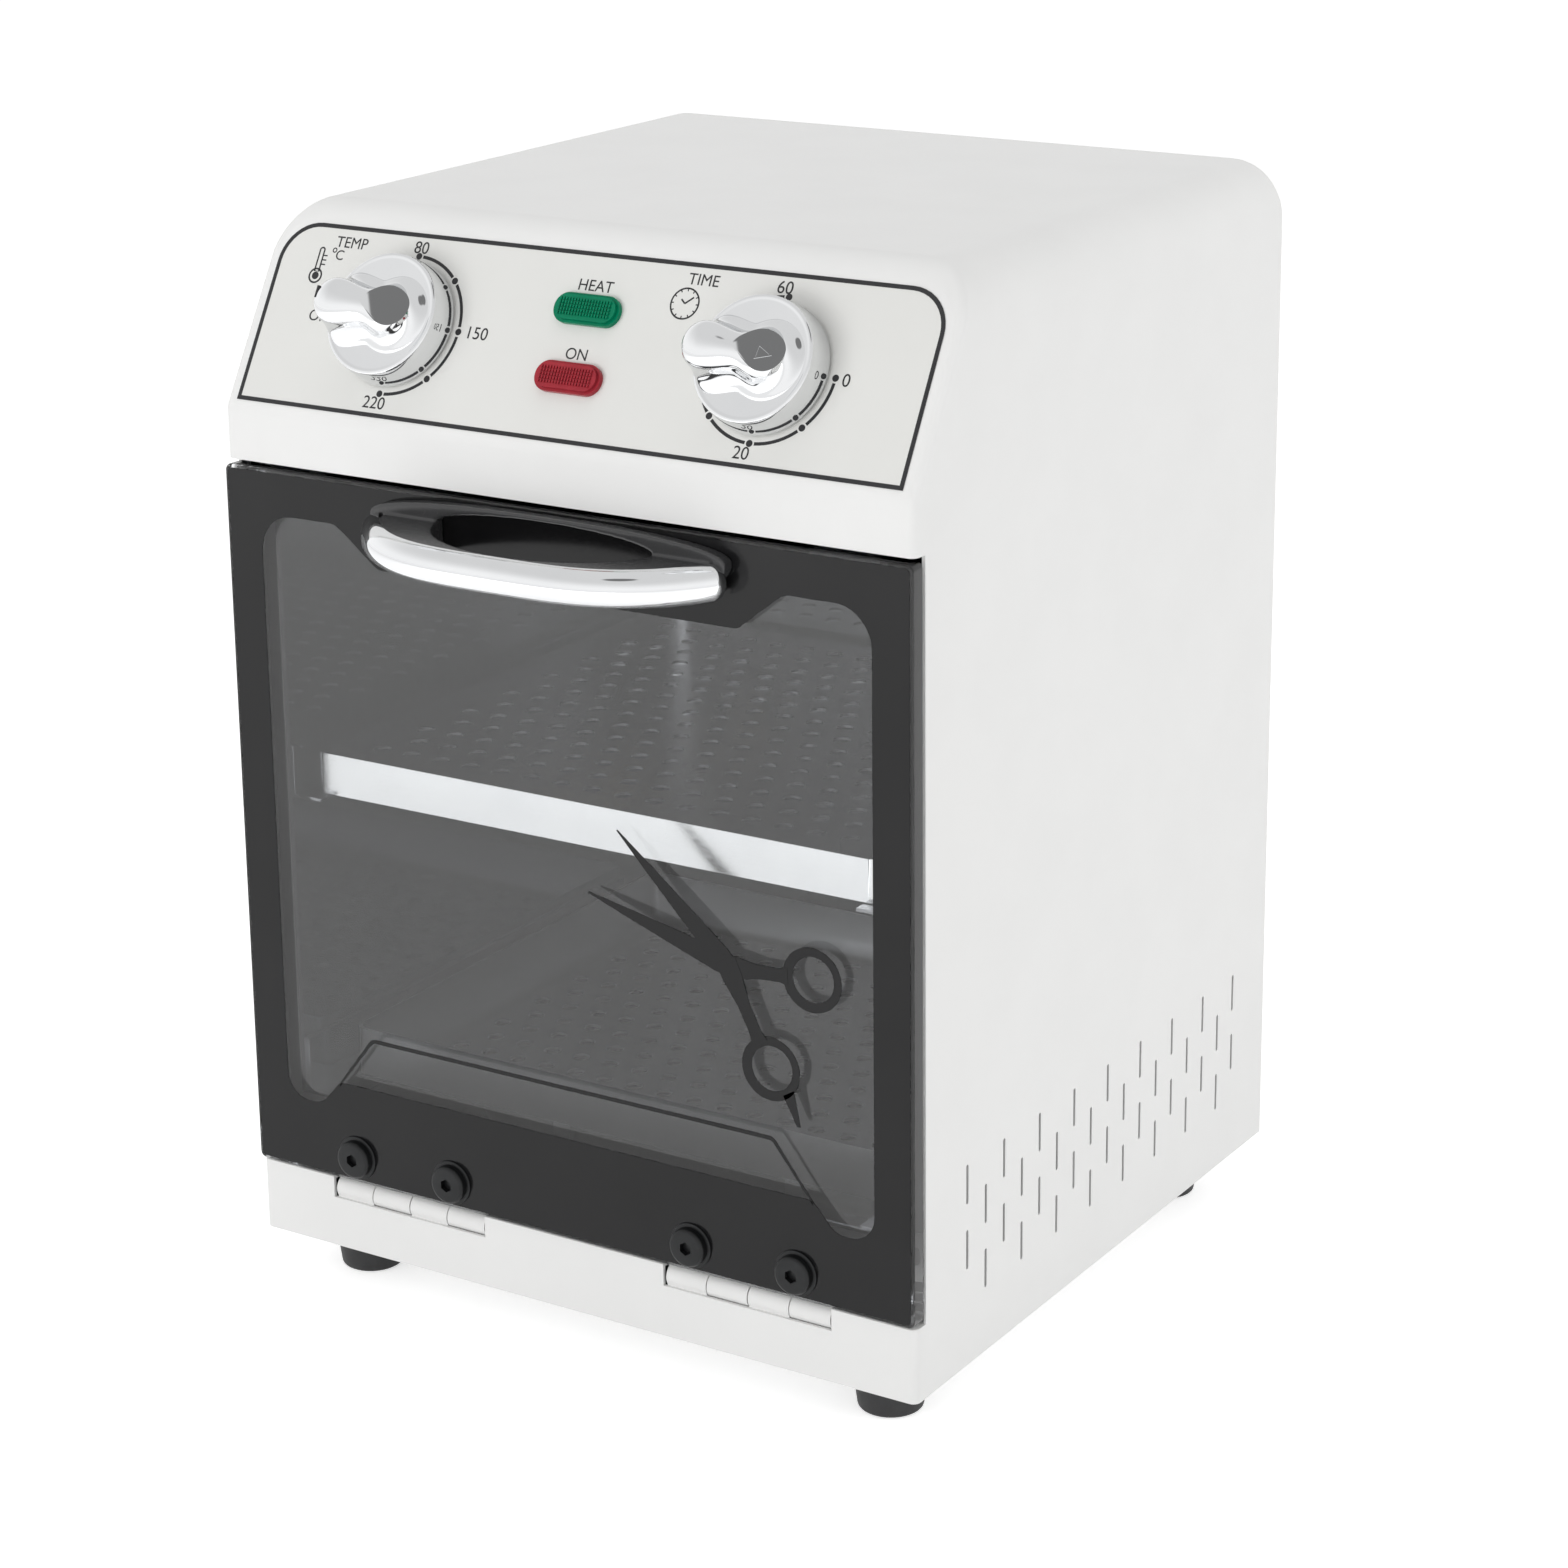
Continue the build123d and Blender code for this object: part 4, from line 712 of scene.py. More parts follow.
def add_node(
    tree: bpy.types.NodeTree, kind: str, inputs: dict | None = None, **settings: object
) -> bpy.types.Node:
    """Add a shader node with its settings, values and links.

    Args:
        tree: the material's node tree.
        kind: the node's type, without the words that every shader node's type starts with.
        inputs: what each input gets: a socket to link from, or a value.
        settings: the node's own properties.

    Returns:
        The new node.
    """
    node = tree.nodes.new("ShaderNode" + kind)
    for key, value in settings.items():
        setattr(node, key, value)
    for key, value in (inputs or {}).items():
        if isinstance(value, bpy.types.NodeSocket):
            tree.links.new(value, node.inputs[key])
        else:
            node.inputs[key].default_value = value
    return node


def empty_tree(owner: bpy.types.ID) -> bpy.types.NodeTree:
    """Give a material or world a node tree with nothing in it.

    Args:
        owner: the material or world.

    Returns:
        The tree.
    """
    owner.use_nodes = True
    owner.node_tree.nodes.clear()
    return owner.node_tree


def per_mm(size: float) -> float:
    """Texture scale at which one feature is about the given size in millimetres."""
    return 1 / (size * MM)


# Noise values that a pattern is spread between: of the slow patches, and of the fine grain.
PATCH_RANGE = {"From Min": 0.35, "From Max": 0.7}
GRAIN_RANGE = {"From Min": 0.3, "From Max": 0.7}


@dataclass(frozen=True)
class Finish:
    """One real material: colour, gloss, and a fine surface texture.

    A fine noise is the grain or orange peel, stretched along an axis where brushing runs: it lifts the
    surface and varies the gloss. A slow noise leads the colour to its tint and back, as coating and
    handling do.
    """

    name: str
    colour: str
    roughness: float
    metallic: float = 0.0
    ior: float = 1.5
    transmission: float = 0.0
    grain_mm: float = 0.6
    grain_stretch: tuple[float, float, float] = (1.0, 1.0, 1.0)
    bump: float = 0.05
    bump_mm: float = 0.05
    tint: str = ""
    tint_share: float = 0.5
    patch_mm: float = 25.0
    gloss_spread: float = 0.04

    def build(self) -> bpy.types.Material:
        """Make the material, with nodes for no more than what varies over its surface.

        Returns:
            The new material.
        """
        material = bpy.data.materials.new(self.name)
        tree = empty_tree(material)
        shading = {
            "Base Color": linear(self.colour),
            "Roughness": self.roughness,
            "Metallic": self.metallic,
            "Transmission Weight": self.transmission,
        }
        if not self.metallic:
            shading["IOR"] = self.ior
        if self.tint or self.bump or self.gloss_spread:
            place = add_node(tree, "TexCoord").outputs["Object"]
            shading |= self.shade(tree, place) if self.tint else {}
            shading |= self.surface(tree, place)
        shader = add_node(tree, "BsdfPrincipled", shading)
        add_node(tree, "OutputMaterial", {"Surface": shader.outputs["BSDF"]})
        return material

    def shade(self, tree: bpy.types.NodeTree, place: bpy.types.NodeSocket) -> Sockets:
        """Add the slow patches that lead from the colour to its tint.

        Args:
            tree: the material's node tree.
            place: the piece's own coordinates.

        Returns:
            The socket that the shader's colour comes from.
        """
        noise = {"Vector": place, "Scale": per_mm(self.patch_mm), "Detail": 4.0}
        patches = add_node(tree, "TexNoise", noise).outputs["Fac"]
        spread = {"Value": patches, "To Min": 0.0, "To Max": self.tint_share}
        share = add_node(tree, "MapRange", PATCH_RANGE | spread).outputs["Result"]
        pair = {"Color1": linear(self.colour), "Color2": linear(self.tint)}
        return {"Base Color": add_node(tree, "MixRGB", {"Fac": share} | pair).outputs["Color"]}

    def surface(self, tree: bpy.types.NodeTree, place: bpy.types.NodeSocket) -> Sockets:
        """Add the fine grain that varies the gloss and lifts the surface.

        Args:
            tree: the material's node tree.
            place: the piece's own coordinates.

        Returns:
            The sockets that the shader's roughness and normal come from.
        """
        stretched = add_node(tree, "Mapping", {"Vector": place, "Scale": self.grain_stretch}).outputs[0]
        noise = {"Vector": stretched, "Scale": per_mm(self.grain_mm), "Detail": 3.0, "Roughness": 0.55}
        grain = add_node(tree, "TexNoise", noise).outputs["Fac"]
        sockets: Sockets = {}
        if self.gloss_spread:
            lowest, highest = max(self.roughness - self.gloss_spread, 0.0), self.roughness + self.gloss_spread
            spread = {"Value": grain, "To Min": lowest, "To Max": highest}
            sockets["Roughness"] = add_node(tree, "MapRange", GRAIN_RANGE | spread).outputs["Result"]
        if self.bump:
            height = {"Height": grain, "Strength": self.bump, "Distance": self.bump_mm * MM}
            sockets["Normal"] = add_node(tree, "Bump", height).outputs["Normal"]
        return sockets


# Powder coat, sprayed and baked: satin, with the faint orange peel of melted powder.
POWDER_COAT = Finish(
    "white_powder_coat", "#E6E6E5", 0.38, grain_mm=0.9, bump=0.10, bump_mm=0.06, tint="#E2E2E1"
)
# Printed polyester film on the panel: a shade warmer and flatter than the paint round it.
PANEL_FILM = Finish("satin_polyester_film", "#DDDDDA", 0.42, grain_mm=0.35, bump_mm=0.02, tint="#DADAD7")
# Screen-printing ink: thin, matt, almost black.
PRINT_INK = Finish("screen_printed_ink", "#1C1C1E", 0.55, grain_mm=0.3, tint="#242427")
# Ceramic frit fired on the glass: dark grey, as glossy as the pane.
CERAMIC_PRINT = Finish(
    "fired_ceramic_print", "#111112", 0.14, ior=1.35, grain_mm=0.5, bump=0.01, tint="#19191A"
)
# Tempered grey glass: faint tint, float-smooth faces.
SMOKED_GLASS = Finish(
    "tempered_grey_glass", "#EEEFF0", 0.0, transmission=1.0, grain_mm=30, bump=0.0, gloss_spread=0.0
)
# Mirror-polished stainless sheet, the chamber's walls: clear reflections with hardly any waviness, its colour
# darkened well below bare steel as painted shade inside the closed chamber.
SHADED_MIRROR_STEEL = Finish(
    "mirror_steel_painted_shade", "#848587", 0.05, metallic=1.0, grain_mm=25, bump=0.0, tint="#7E7F82",
    gloss_spread=0.01, patch_mm=60,
)
# Cold-rolled stainless sheet, pressed and punched: soft sheen with rolling marks.
ROLLED_STEEL = Finish(
    "rolled_stainless_steel", "#E8E9E9", 0.22, metallic=1.0, grain_mm=0.5, grain_stretch=(0.08, 1.0, 1.0),
    bump=0.04, bump_mm=0.01, tint="#DEDFE0",
)
# Satin stainless sheet of the lower tray: the mill's fine scratches blur what it reflects, and its colour,
# much darker than the upper tray's, is painted shade deep in the chamber.
SHADED_SATIN_STEEL = Finish(
    "satin_steel_painted_shade", "#7A7B7D", 0.4, metallic=1.0, grain_mm=0.5, grain_stretch=(0.08, 1.0, 1.0),
    bump=0.04, bump_mm=0.01, tint="#737477",
)
# Walls of punched holes in stainless sheet: half sheared, half torn, so duller than the rolled faces, and
# darkened further as painted shade inside the holes.
PUNCHED_EDGE_AND_SHADE = Finish(
    "punched_edge_painted_shade", "#6C6D6F", 0.5, metallic=1.0, grain_mm=0.2, bump=0.1, bump_mm=0.02,
    tint="#5E5F62", patch_mm=3,
)
# Bright chrome plate over moulded plastic: clear reflections with a trace of waviness.
CHROME = Finish(
    "bright_chrome_plate", "#E4E5E6", 0.05, metallic=1.0, grain_mm=6, bump=0.02, gloss_spread=0.02,
    tint="#DCDDDF",
)
# Phenolic moulding: deep black-grey, semi-gloss, fine spark-eroded grain.
BLACK_MOULDING = Finish(
    "black_phenolic_moulding", "#363637", 0.24, grain_mm=0.35, bump_mm=0.03, tint="#3B3B3C"
)
# Black-oxide steel of the screws: oily low gloss.
BLACK_OXIDE = Finish(
    "black_oxide_steel", "#1E1F20", 0.34, metallic=0.55, grain_mm=0.3, bump=0.10, bump_mm=0.02,
    tint="#2A2B2C", patch_mm=4,
)
# Nitrile rubber: matt, moulded, a little dusty at the edges.
RUBBER = Finish(
    "moulded_nitrile_rubber", "#262627", 0.62, grain_mm=0.4, bump=0.18, bump_mm=0.03, tint="#323233",
    patch_mm=7,
)
# Silicone rubber: dark grey, waxy.
SILICONE = Finish("extruded_silicone", "#565655", 0.55, grain_mm=0.5, bump=0.08, tint="#4C4C4C")
# Alumina ceramic: fired, white, slightly rough.
ALUMINA = Finish("fired_alumina", "#E7E3DA", 0.5, grain_mm=0.3, bump=0.15, tint="#DDD8CC", patch_mm=3)
# Machined brass of contacts and terminals: warm yellow with a soft, turned sheen.
BRASS = Finish(
    "machined_brass", "#C9A85C", 0.28, metallic=1.0, grain_mm=0.4, bump=0.06, tint="#B89548", patch_mm=4
)
# Mineral wool blanket: matted fibres, straw grey.
MINERAL_WOOL = Finish(
    "mineral_wool", "#C2B89A", 0.95, grain_mm=0.8, grain_stretch=(0.3, 1.0, 1.0), bump=0.9, bump_mm=0.8,
    tint="#A79C7C", patch_mm=6,
)
# Ferrite magnet: sintered, dark grey, dull.
FERRITE = Finish("sintered_ferrite", "#3A3A3C", 0.5, grain_mm=0.25, bump=0.2, tint="#2E2E30", patch_mm=3)
# Heat-darkened steel sheath of the tubular element: bluish brown oxide.
OXIDISED_SHEATH = Finish(
    "oxidised_steel_sheath", "#6E6862", 0.42, metallic=0.8, grain_mm=0.5, bump=0.1, tint="#54585F",
    tint_share=0.9, patch_mm=12,
)
# Tinted acrylic lamp lenses: clear gloss over a deep colour.
GREEN_ACRYLIC = Finish(
    "green_acrylic_lens", "#067D5A", 0.1, ior=1.22, grain_mm=2, bump=0.02, tint="#066C4D", patch_mm=4
)
RED_ACRYLIC = Finish(
    "red_acrylic_lens", "#A2303A", 0.1, ior=1.25, grain_mm=2, bump=0.02, tint="#8A2630", patch_mm=4
)


class Palette:
    """Builds each finish once and hands it to pieces by slot."""

    SLOTS = {
        "white_paint": POWDER_COAT,
        "polished_steel": SHADED_MIRROR_STEEL,
        # The chamber's polished steel is darkened as painted shade.
        "plain_steel": ROLLED_STEEL,
        "bright_chrome": CHROME,
        "black_moulding": BLACK_MOULDING,
        "black_fastener": BLACK_OXIDE,
        "black_rubber": RUBBER,
        "silicone": SILICONE,
        "door_pane": SMOKED_GLASS,
        "green_lens": GREEN_ACRYLIC,
        "red_lens": RED_ACRYLIC,
        "ceramic": ALUMINA,
        "brass_contact": BRASS,
        "mineral_wool": MINERAL_WOOL,
        "magnet": FERRITE,
        "element_sheath": OXIDISED_SHEATH,
    }

    def __init__(self) -> None:
        """Start with nothing built."""
        self.built: dict[str, bpy.types.Material] = {}

    def get(self, finish: Finish) -> bpy.types.Material:
        """Find a finish's material, which is made the first time it is asked for.

        Args:
            finish: the finish.

        Returns:
            Its material.
        """
        if finish.name not in self.built:
            self.built[finish.name] = finish.build()
        return self.built[finish.name]

    def dress(self, piece: Piece, finish: Finish) -> None:
        """Give a piece one finish all over."""
        piece.data.materials.clear()
        piece.data.materials.append(self.get(finish))

    def dress_construction(self, slots: dict[str, str]) -> None:
        """Give each construction node that still shows the finish of its slot.

        Args:
            slots: material slot of each construction node.
        """
        for node, shown in frame["nodes"].items():
            if not shown.hide_render:
                self.dress(shown, self.SLOTS[slots[node]])


PALETTE = Palette()


def fit(
    piece: Piece, body: Body, slot: str, finish: Finish | None = None, replaces: Sequence[str] = ()
) -> Piece:
    """Finish a piece and fix it to its body.

    Args:
        piece: the finished mesh.
        body: the body it rides on.
        slot: the material slot it takes its finish from.
        finish: another finish than the slot's own.
        replaces: construction nodes it stands for.

    Returns:
        The same piece.
    """
    PALETTE.dress(piece, finish or PALETTE.SLOTS[slot])
    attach(piece, body.value)
    if replaces:
        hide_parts(*replaces)
    LOG.info("%s on %s, %d faces", piece.name, body.value, len(piece.data.polygons))
    return piece


# ---------------------------------------------------------------- planes that pieces are laid out on
SHELL_LOW, SHELL_HIGH = low_high("outer_shell")
GLASS_LOW, GLASS_HIGH = low_high("door_glass")


@dataclass(frozen=True)
class Fascia:
    """The sloped control panel: where it folds, how it leans, and how high up it the dials sit."""

    fold_z: float = 261.2
    strip_z: float = 246.0
    angle: float = 60.0
    dial_up: float = 28.35

    def plane(self) -> Matrix:
        """Lay out the panel's flat, x to the right and y up the slope.

        Returns:
            The matrix from the flat to the row frame.
        """
        slope = unit(math.radians(self.angle))
        up = Vector((0, slope.x, slope.y))
        return flat_to_row(Vector((0, SHELL_LOW.y, self.fold_z)), RIGHT, up, RIGHT.cross(up))


FASCIA = Fascia()
PANEL = FASCIA.plane()
PANEL_OUT = PANEL.col[2].to_3d()
PANE = flat_to_row(Vector((0, GLASS_LOW.y, 0)), RIGHT, UP, -BACK)


def knob_axis(node: str) -> Vector:
    """Find where a dial's axis meets the panel.

    Args:
        node: the dial's construction node.

    Returns:
        The place in millimetres.
    """
    low, high = low_high(node)
    flat = PANEL.inverted() @ ((low + high) / 2)
    return PANEL @ Vector((round(flat.x), FASCIA.dial_up, 0))


# ---------------------------------------------------------------- cabinet
@dataclass
class Cabinet:
    """Folded sheet-metal cabinet with its sill, floor pan, side vents and feet."""

    sheet: float = 1.0
    long_edge: float = 16.0
    long_edge_steps: int = 14
    crest_offset: float = 5.8
    crest_steps: int = 6
    fold_share: float = 0.38
    door_recess: float = 5.0
    sill_top: float = 36.5
    sill_roll: float = 4.0
    sill_roll_steps: int = 6
    sill_shelf: float = 4.0
    sill_front: float = 2.5
    hinge_x: float = 57.0
    hinge_notch: float = 26.85
    hinge_notch_z: float = 30.07
    notch_front: float = 3.0
    notch_spare: float = 2.0
    vent_length: float = 11.4
    vent_width: float = 1.2
    vent_end_share: float = 0.98
    vent_columns: int = 17
    vent_pitch: float = 10.07
    vent_front: float = 27.1
    vent_tops: tuple[float, ...] = (73.6, 64.2, 54.7, 45.3)
    hole_radius: float = 4.0
    hole_reach: float = 6.0
    spare: float = 5.0

    def build(self) -> None:
        """Build and dress the cabinet's own pieces."""
        fit(self.shell(), Body.CABINET, "white_paint", replaces=["outer_shell"])
        fit(FloorPan(self.sheet).shape(), Body.CABINET, "white_paint", replaces=["base_pan"])
        fit(Feet().shape(), Body.CABINET, "black_rubber", replaces=["feet"])

    def shell(self) -> Piece:
        """Fold the shell: rounded long edges, sloped panel, rolled sill, slotted sides.

        Returns:
            The finished mesh.
        """
        shell = add_block("cabinet_shell", SHELL_LOW, SHELL_HIGH)
        top = SHELL_HIGH.z - 2 * NEAR
        bevel_edges(
            shell,
            lambda a, b: min(a.z, b.z) > top and abs(a.x - b.x) < 2 * NEAR,
            self.long_edge,
            self.long_edge_steps,
        )
        self.slope(shell)
        self.soften_folds(shell)
        self.open_front(shell)
        give_wall(shell, self.sheet)
        cut(shell, [self.vents(), self.notches(), self.panel_holes()])
        return smooth(shell, 25)

    def slope(self, shell: Piece) -> None:
        """Cut the block along the sloped panel.

        Args:
            shell: the block.
        """
        with editing(shell):
            bpy.ops.mesh.select_all(action="SELECT")
            bpy.ops.mesh.bisect(
                plane_co=PANEL.translation * MM,
                plane_no=PANEL_OUT,
                use_fill=True,
                clear_outer=True,
                threshold=1e-6,
            )

    def soften_folds(self, shell: Piece) -> None:
        """Round the crest broadly and the other folds tightly, tapering between them.

        Args:
            shell: the block with its slope.
        """
        mesh = shell.data
        weights = mesh.attributes.new("bevel_weight_edge", "FLOAT", "EDGE")
        for edge in mesh.edges:
            ends = [mesh.vertices[index].co / MM for index in edge.vertices]
            on_slope = all(abs((end - PANEL.translation).dot(PANEL_OUT)) < NEAR for end in ends)
            at_front = all(end.y < SHELL_LOW.y + 2 * NEAR for end in ends)
            if on_slope:
                rise = sum(end.z for end in ends) / 2 - (SHELL_HIGH.z - self.long_edge)
                share = min(max(rise / self.long_edge, 0.0), 1.0)
                weights.data[edge.index].value = self.fold_share + (1 - self.fold_share) * share * share
            elif at_front and abs(ends[0].x - ends[1].x) < 2 * NEAR:
                weights.data[edge.index].value = self.fold_share
        limit = {"limit_method": "WEIGHT", "use_clamp_overlap": False}
        use_modifier(shell, "BEVEL", width=self.crest_offset * MM, segments=self.crest_steps, **limit)

    def open_front(self, shell: Piece) -> None:
        """Set the door opening back, roll the sill, and open the front, bottom and rear.

        Args:
            shell: the folded block.
        """
        front = SHELL_LOW.y + self.door_recess
        low = (SHELL_LOW.x - self.spare, SHELL_LOW.y - self.spare, self.sill_top)
        high = (SHELL_HIGH.x + self.spare, front, FASCIA.strip_z)
        cut(shell, [add_block("recess", low, high)])

        sill_edge = SHELL_LOW.y + self.sill_front
        bevel_edges(
            shell,
            lambda a, b: self.on_sill(a, b) and max(a.y, b.y) < sill_edge,
            self.sill_roll,
            self.sill_roll_steps,
        )
        delete_faces(
            shell,
            lambda middle, normal: (normal.y < -FACING and abs(middle.y - front) < NEAR)
            or (normal.z < -FACING and middle.z < SHELL_LOW.z + NEAR)
            or (normal.y > FACING and middle.y > SHELL_HIGH.y - NEAR),
        )
        with editing(shell):
            pick_edges(
                shell, lambda a, b: self.on_sill(a, b) and max(abs(a.y - front), abs(b.y - front)) < NEAR
            )
            extrude((0, self.sill_shelf, 0))
            turn_faces_out()

    def on_sill(self, a: Vector, b: Vector) -> bool:
        """Whether an edge lies along the sill's top."""
        return max(abs(a.z - self.sill_top), abs(b.z - self.sill_top)) < NEAR

    def vents(self) -> Piece:
        """Slots through both sides, in staggered columns.

        Returns:
            The cutting shape.
        """
        half = self.vent_width / 2
        reach = SHELL_HIGH.x + self.spare
        middle = SHELL_LOW.y + self.vent_front
        slot = add_block("vent", (-reach, middle - half, -self.vent_length), (reach, middle + half, 0))
        bevel_edges(slot, lambda a, b: abs(a.x - b.x) > reach, half * self.vent_end_share, 3)
        slots = [
            copy_of(slot, Vector((0, column * self.vent_pitch, top)))
            for column in range(self.vent_columns)
            for row, top in enumerate(self.vent_tops)
            if row % 2 == column % 2
        ]
        bpy.data.objects.remove(slot)
        return join("vents", slots)

    def notches(self) -> Piece:
        """Gaps in the rolled sill for the two hinges.

        Returns:
            The cutting shape.
        """
        front = SHELL_LOW.y - self.notch_front
        rear = SHELL_LOW.y + self.door_recess + self.sill_shelf + self.notch_spare
        pair = []
        for middle in (-self.hinge_x, self.hinge_x):
            low = (middle - self.hinge_notch, front, self.hinge_notch_z)
            high = (middle + self.hinge_notch, rear, self.sill_top + self.notch_spare)
            pair.append(add_block("notch", low, high))
        return join("notches", pair)

    def panel_holes(self) -> Piece:
        """Clearance holes for the two dial shafts.

        Returns:
            The cutting shape.
        """
        reach = PANEL_OUT * self.hole_reach
        holes = []
        for node in ("temperature_knob", "timer_knob"):
            place = knob_axis(node)
            holes.append(add_bar("shaft_hole", place - reach, place + reach, self.hole_radius, 32))
        return join("panel_holes", holes)


@dataclass
class FloorPan:
    """Shallow tray that closes the cabinet's bottom, inside the shell."""

    sheet: float
    clearance: float = 0.15
    height: float = 12.0
    corner: float = 2.0
    fold: float = 0.8

    def shape(self) -> Piece:
        """Build the pan.

        Returns:
            The finished mesh.
        """
        gap = self.sheet + self.clearance
        low = SHELL_LOW + Vector((gap, gap, 0))
        high = Vector((SHELL_HIGH.x - gap, SHELL_HIGH.y - gap, SHELL_LOW.z + self.height))
        pan = add_block("floor_pan", low, high)
        bevel_edges(pan, lambda a, b: abs(a.z - b.z) > 1, self.corner, 4)
        delete_faces(pan, lambda middle, normal: normal.z > FACING)
        bevel_edges(pan, lambda a, b: max(a.z, b.z) < SHELL_LOW.z + NEAR, self.fold, 2)
        return smooth(give_wall(pan, self.sheet), 30)


@dataclass
class Feet:
    """Four tapered rubber feet, hollow underneath round their screws."""

    radius: float = 11.0
    foot_radius: float = 9.0
    well_radius: float = 4.6
    well_depth: float = 9.0
    edge: float = 1.2

    def shape(self) -> Piece:
        """Build one foot and set a copy under each corner.

        Returns:
            The four feet as one mesh.
        """
        low, high = low_high("feet")
        centre = Vector((high.x - self.radius, high.y - self.radius, 0))
        foot = add_bar("foot", centre, centre + UP * high.z, self.radius, 64)
        with editing(foot, "FACE"):
            pick_faces(foot, lambda middle, normal: normal.z < -0.9)
            share = self.foot_radius / self.radius
            bpy.ops.transform.resize(value=(share, share, 1), center_override=centre * MM)
            bpy.ops.mesh.inset(thickness=(self.foot_radius - self.well_radius) * MM, depth=0)
            extrude((0, 0, self.well_depth))
        round_sharp(foot, self.edge, 4, 50)
        smooth(foot, 40)
        reach = centre - (low + high) / 2
        copies = [
            copy_of(foot, Vector((x - reach.x, y - reach.y, 0)))
            for x in (-reach.x, reach.x)
            for y in (-reach.y, reach.y)
        ]
        bpy.data.objects.remove(foot)
        return join("rubber_feet", copies)


# ---------------------------------------------------------------- control panel
@dataclass
class ControlPanel:
    """Printed panel film, dial rings and captions, two chromed dials, two lamps."""

    film: float = 0.12
    film_gap: float = 0.02
    film_inset: float = 0.2
    frame_x: float = 106.0
    frame_low: float = 1.85
    frame_high: float = 54.65
    frame_line: float = 1.2
    frame_corner: float = 12.0
    dial_x: float = 59.0
    green_lamp_up: float = 38.35
    red_lamp_up: float = 19.35

    def build(self) -> None:
        """Build and dress the panel."""
        outline = self.frame_outline(self.film_inset)
        film = flat_piece("panel_film", [outline], self.at(0, 0, self.film_gap), self.film)
        fit(film, Body.CABINET, "white_paint", PANEL_FILM)
        ink = PanelPrint(self.at(0, 0, self.film + self.film_gap))
        frame_line = ink.outline([self.frame_outline(0), self.frame_outline(self.frame_line)])
        fit(ink.shape(frame_line, self.dial_x), Body.CABINET, "black_moulding", PRINT_INK)
        place = self.at(-self.dial_x, FASCIA.dial_up)
        knob = Knob().shape("temperature_dial_knob", place)
        fit(knob, Body.TEMPERATURE, "bright_chrome", replaces=["temperature_knob"])
        mark = Knob().index_mark("temperature_index_mark", place)
        fit(mark, Body.TEMPERATURE, "bright_chrome", PRINT_INK)
        knob = Knob().shape("timer_dial_knob", self.at(self.dial_x, FASCIA.dial_up), pointer=True)
        fit(knob, Body.TIMER, "bright_chrome", replaces=["timer_knob"])
        for name, up in (("green", self.green_lamp_up), ("red", self.red_lamp_up)):
            lens = Lamp().shape(f"{name}_lamp", self.at(0, up))
            fit(lens, Body.CABINET, f"{name}_lens", replaces=[f"{name}_lamp_lens"])

    def at(self, x: float, up: float, out: float = 0.0) -> Matrix:
        """The panel's flat, with its origin moved."""
        return PANEL @ Matrix.Translation((x, up, out))

    def frame_outline(self, inset: float) -> list[Vector]:
        """Frame line's outline.

        Args:
            inset: how far it is drawn in.

        Returns:
            The outline's points.
        """
        side, low, high = self.frame_x - inset, self.frame_low + inset, self.frame_high - inset
        return oblong((-side, low), (side, high), 0, self.frame_corner - inset, 10)


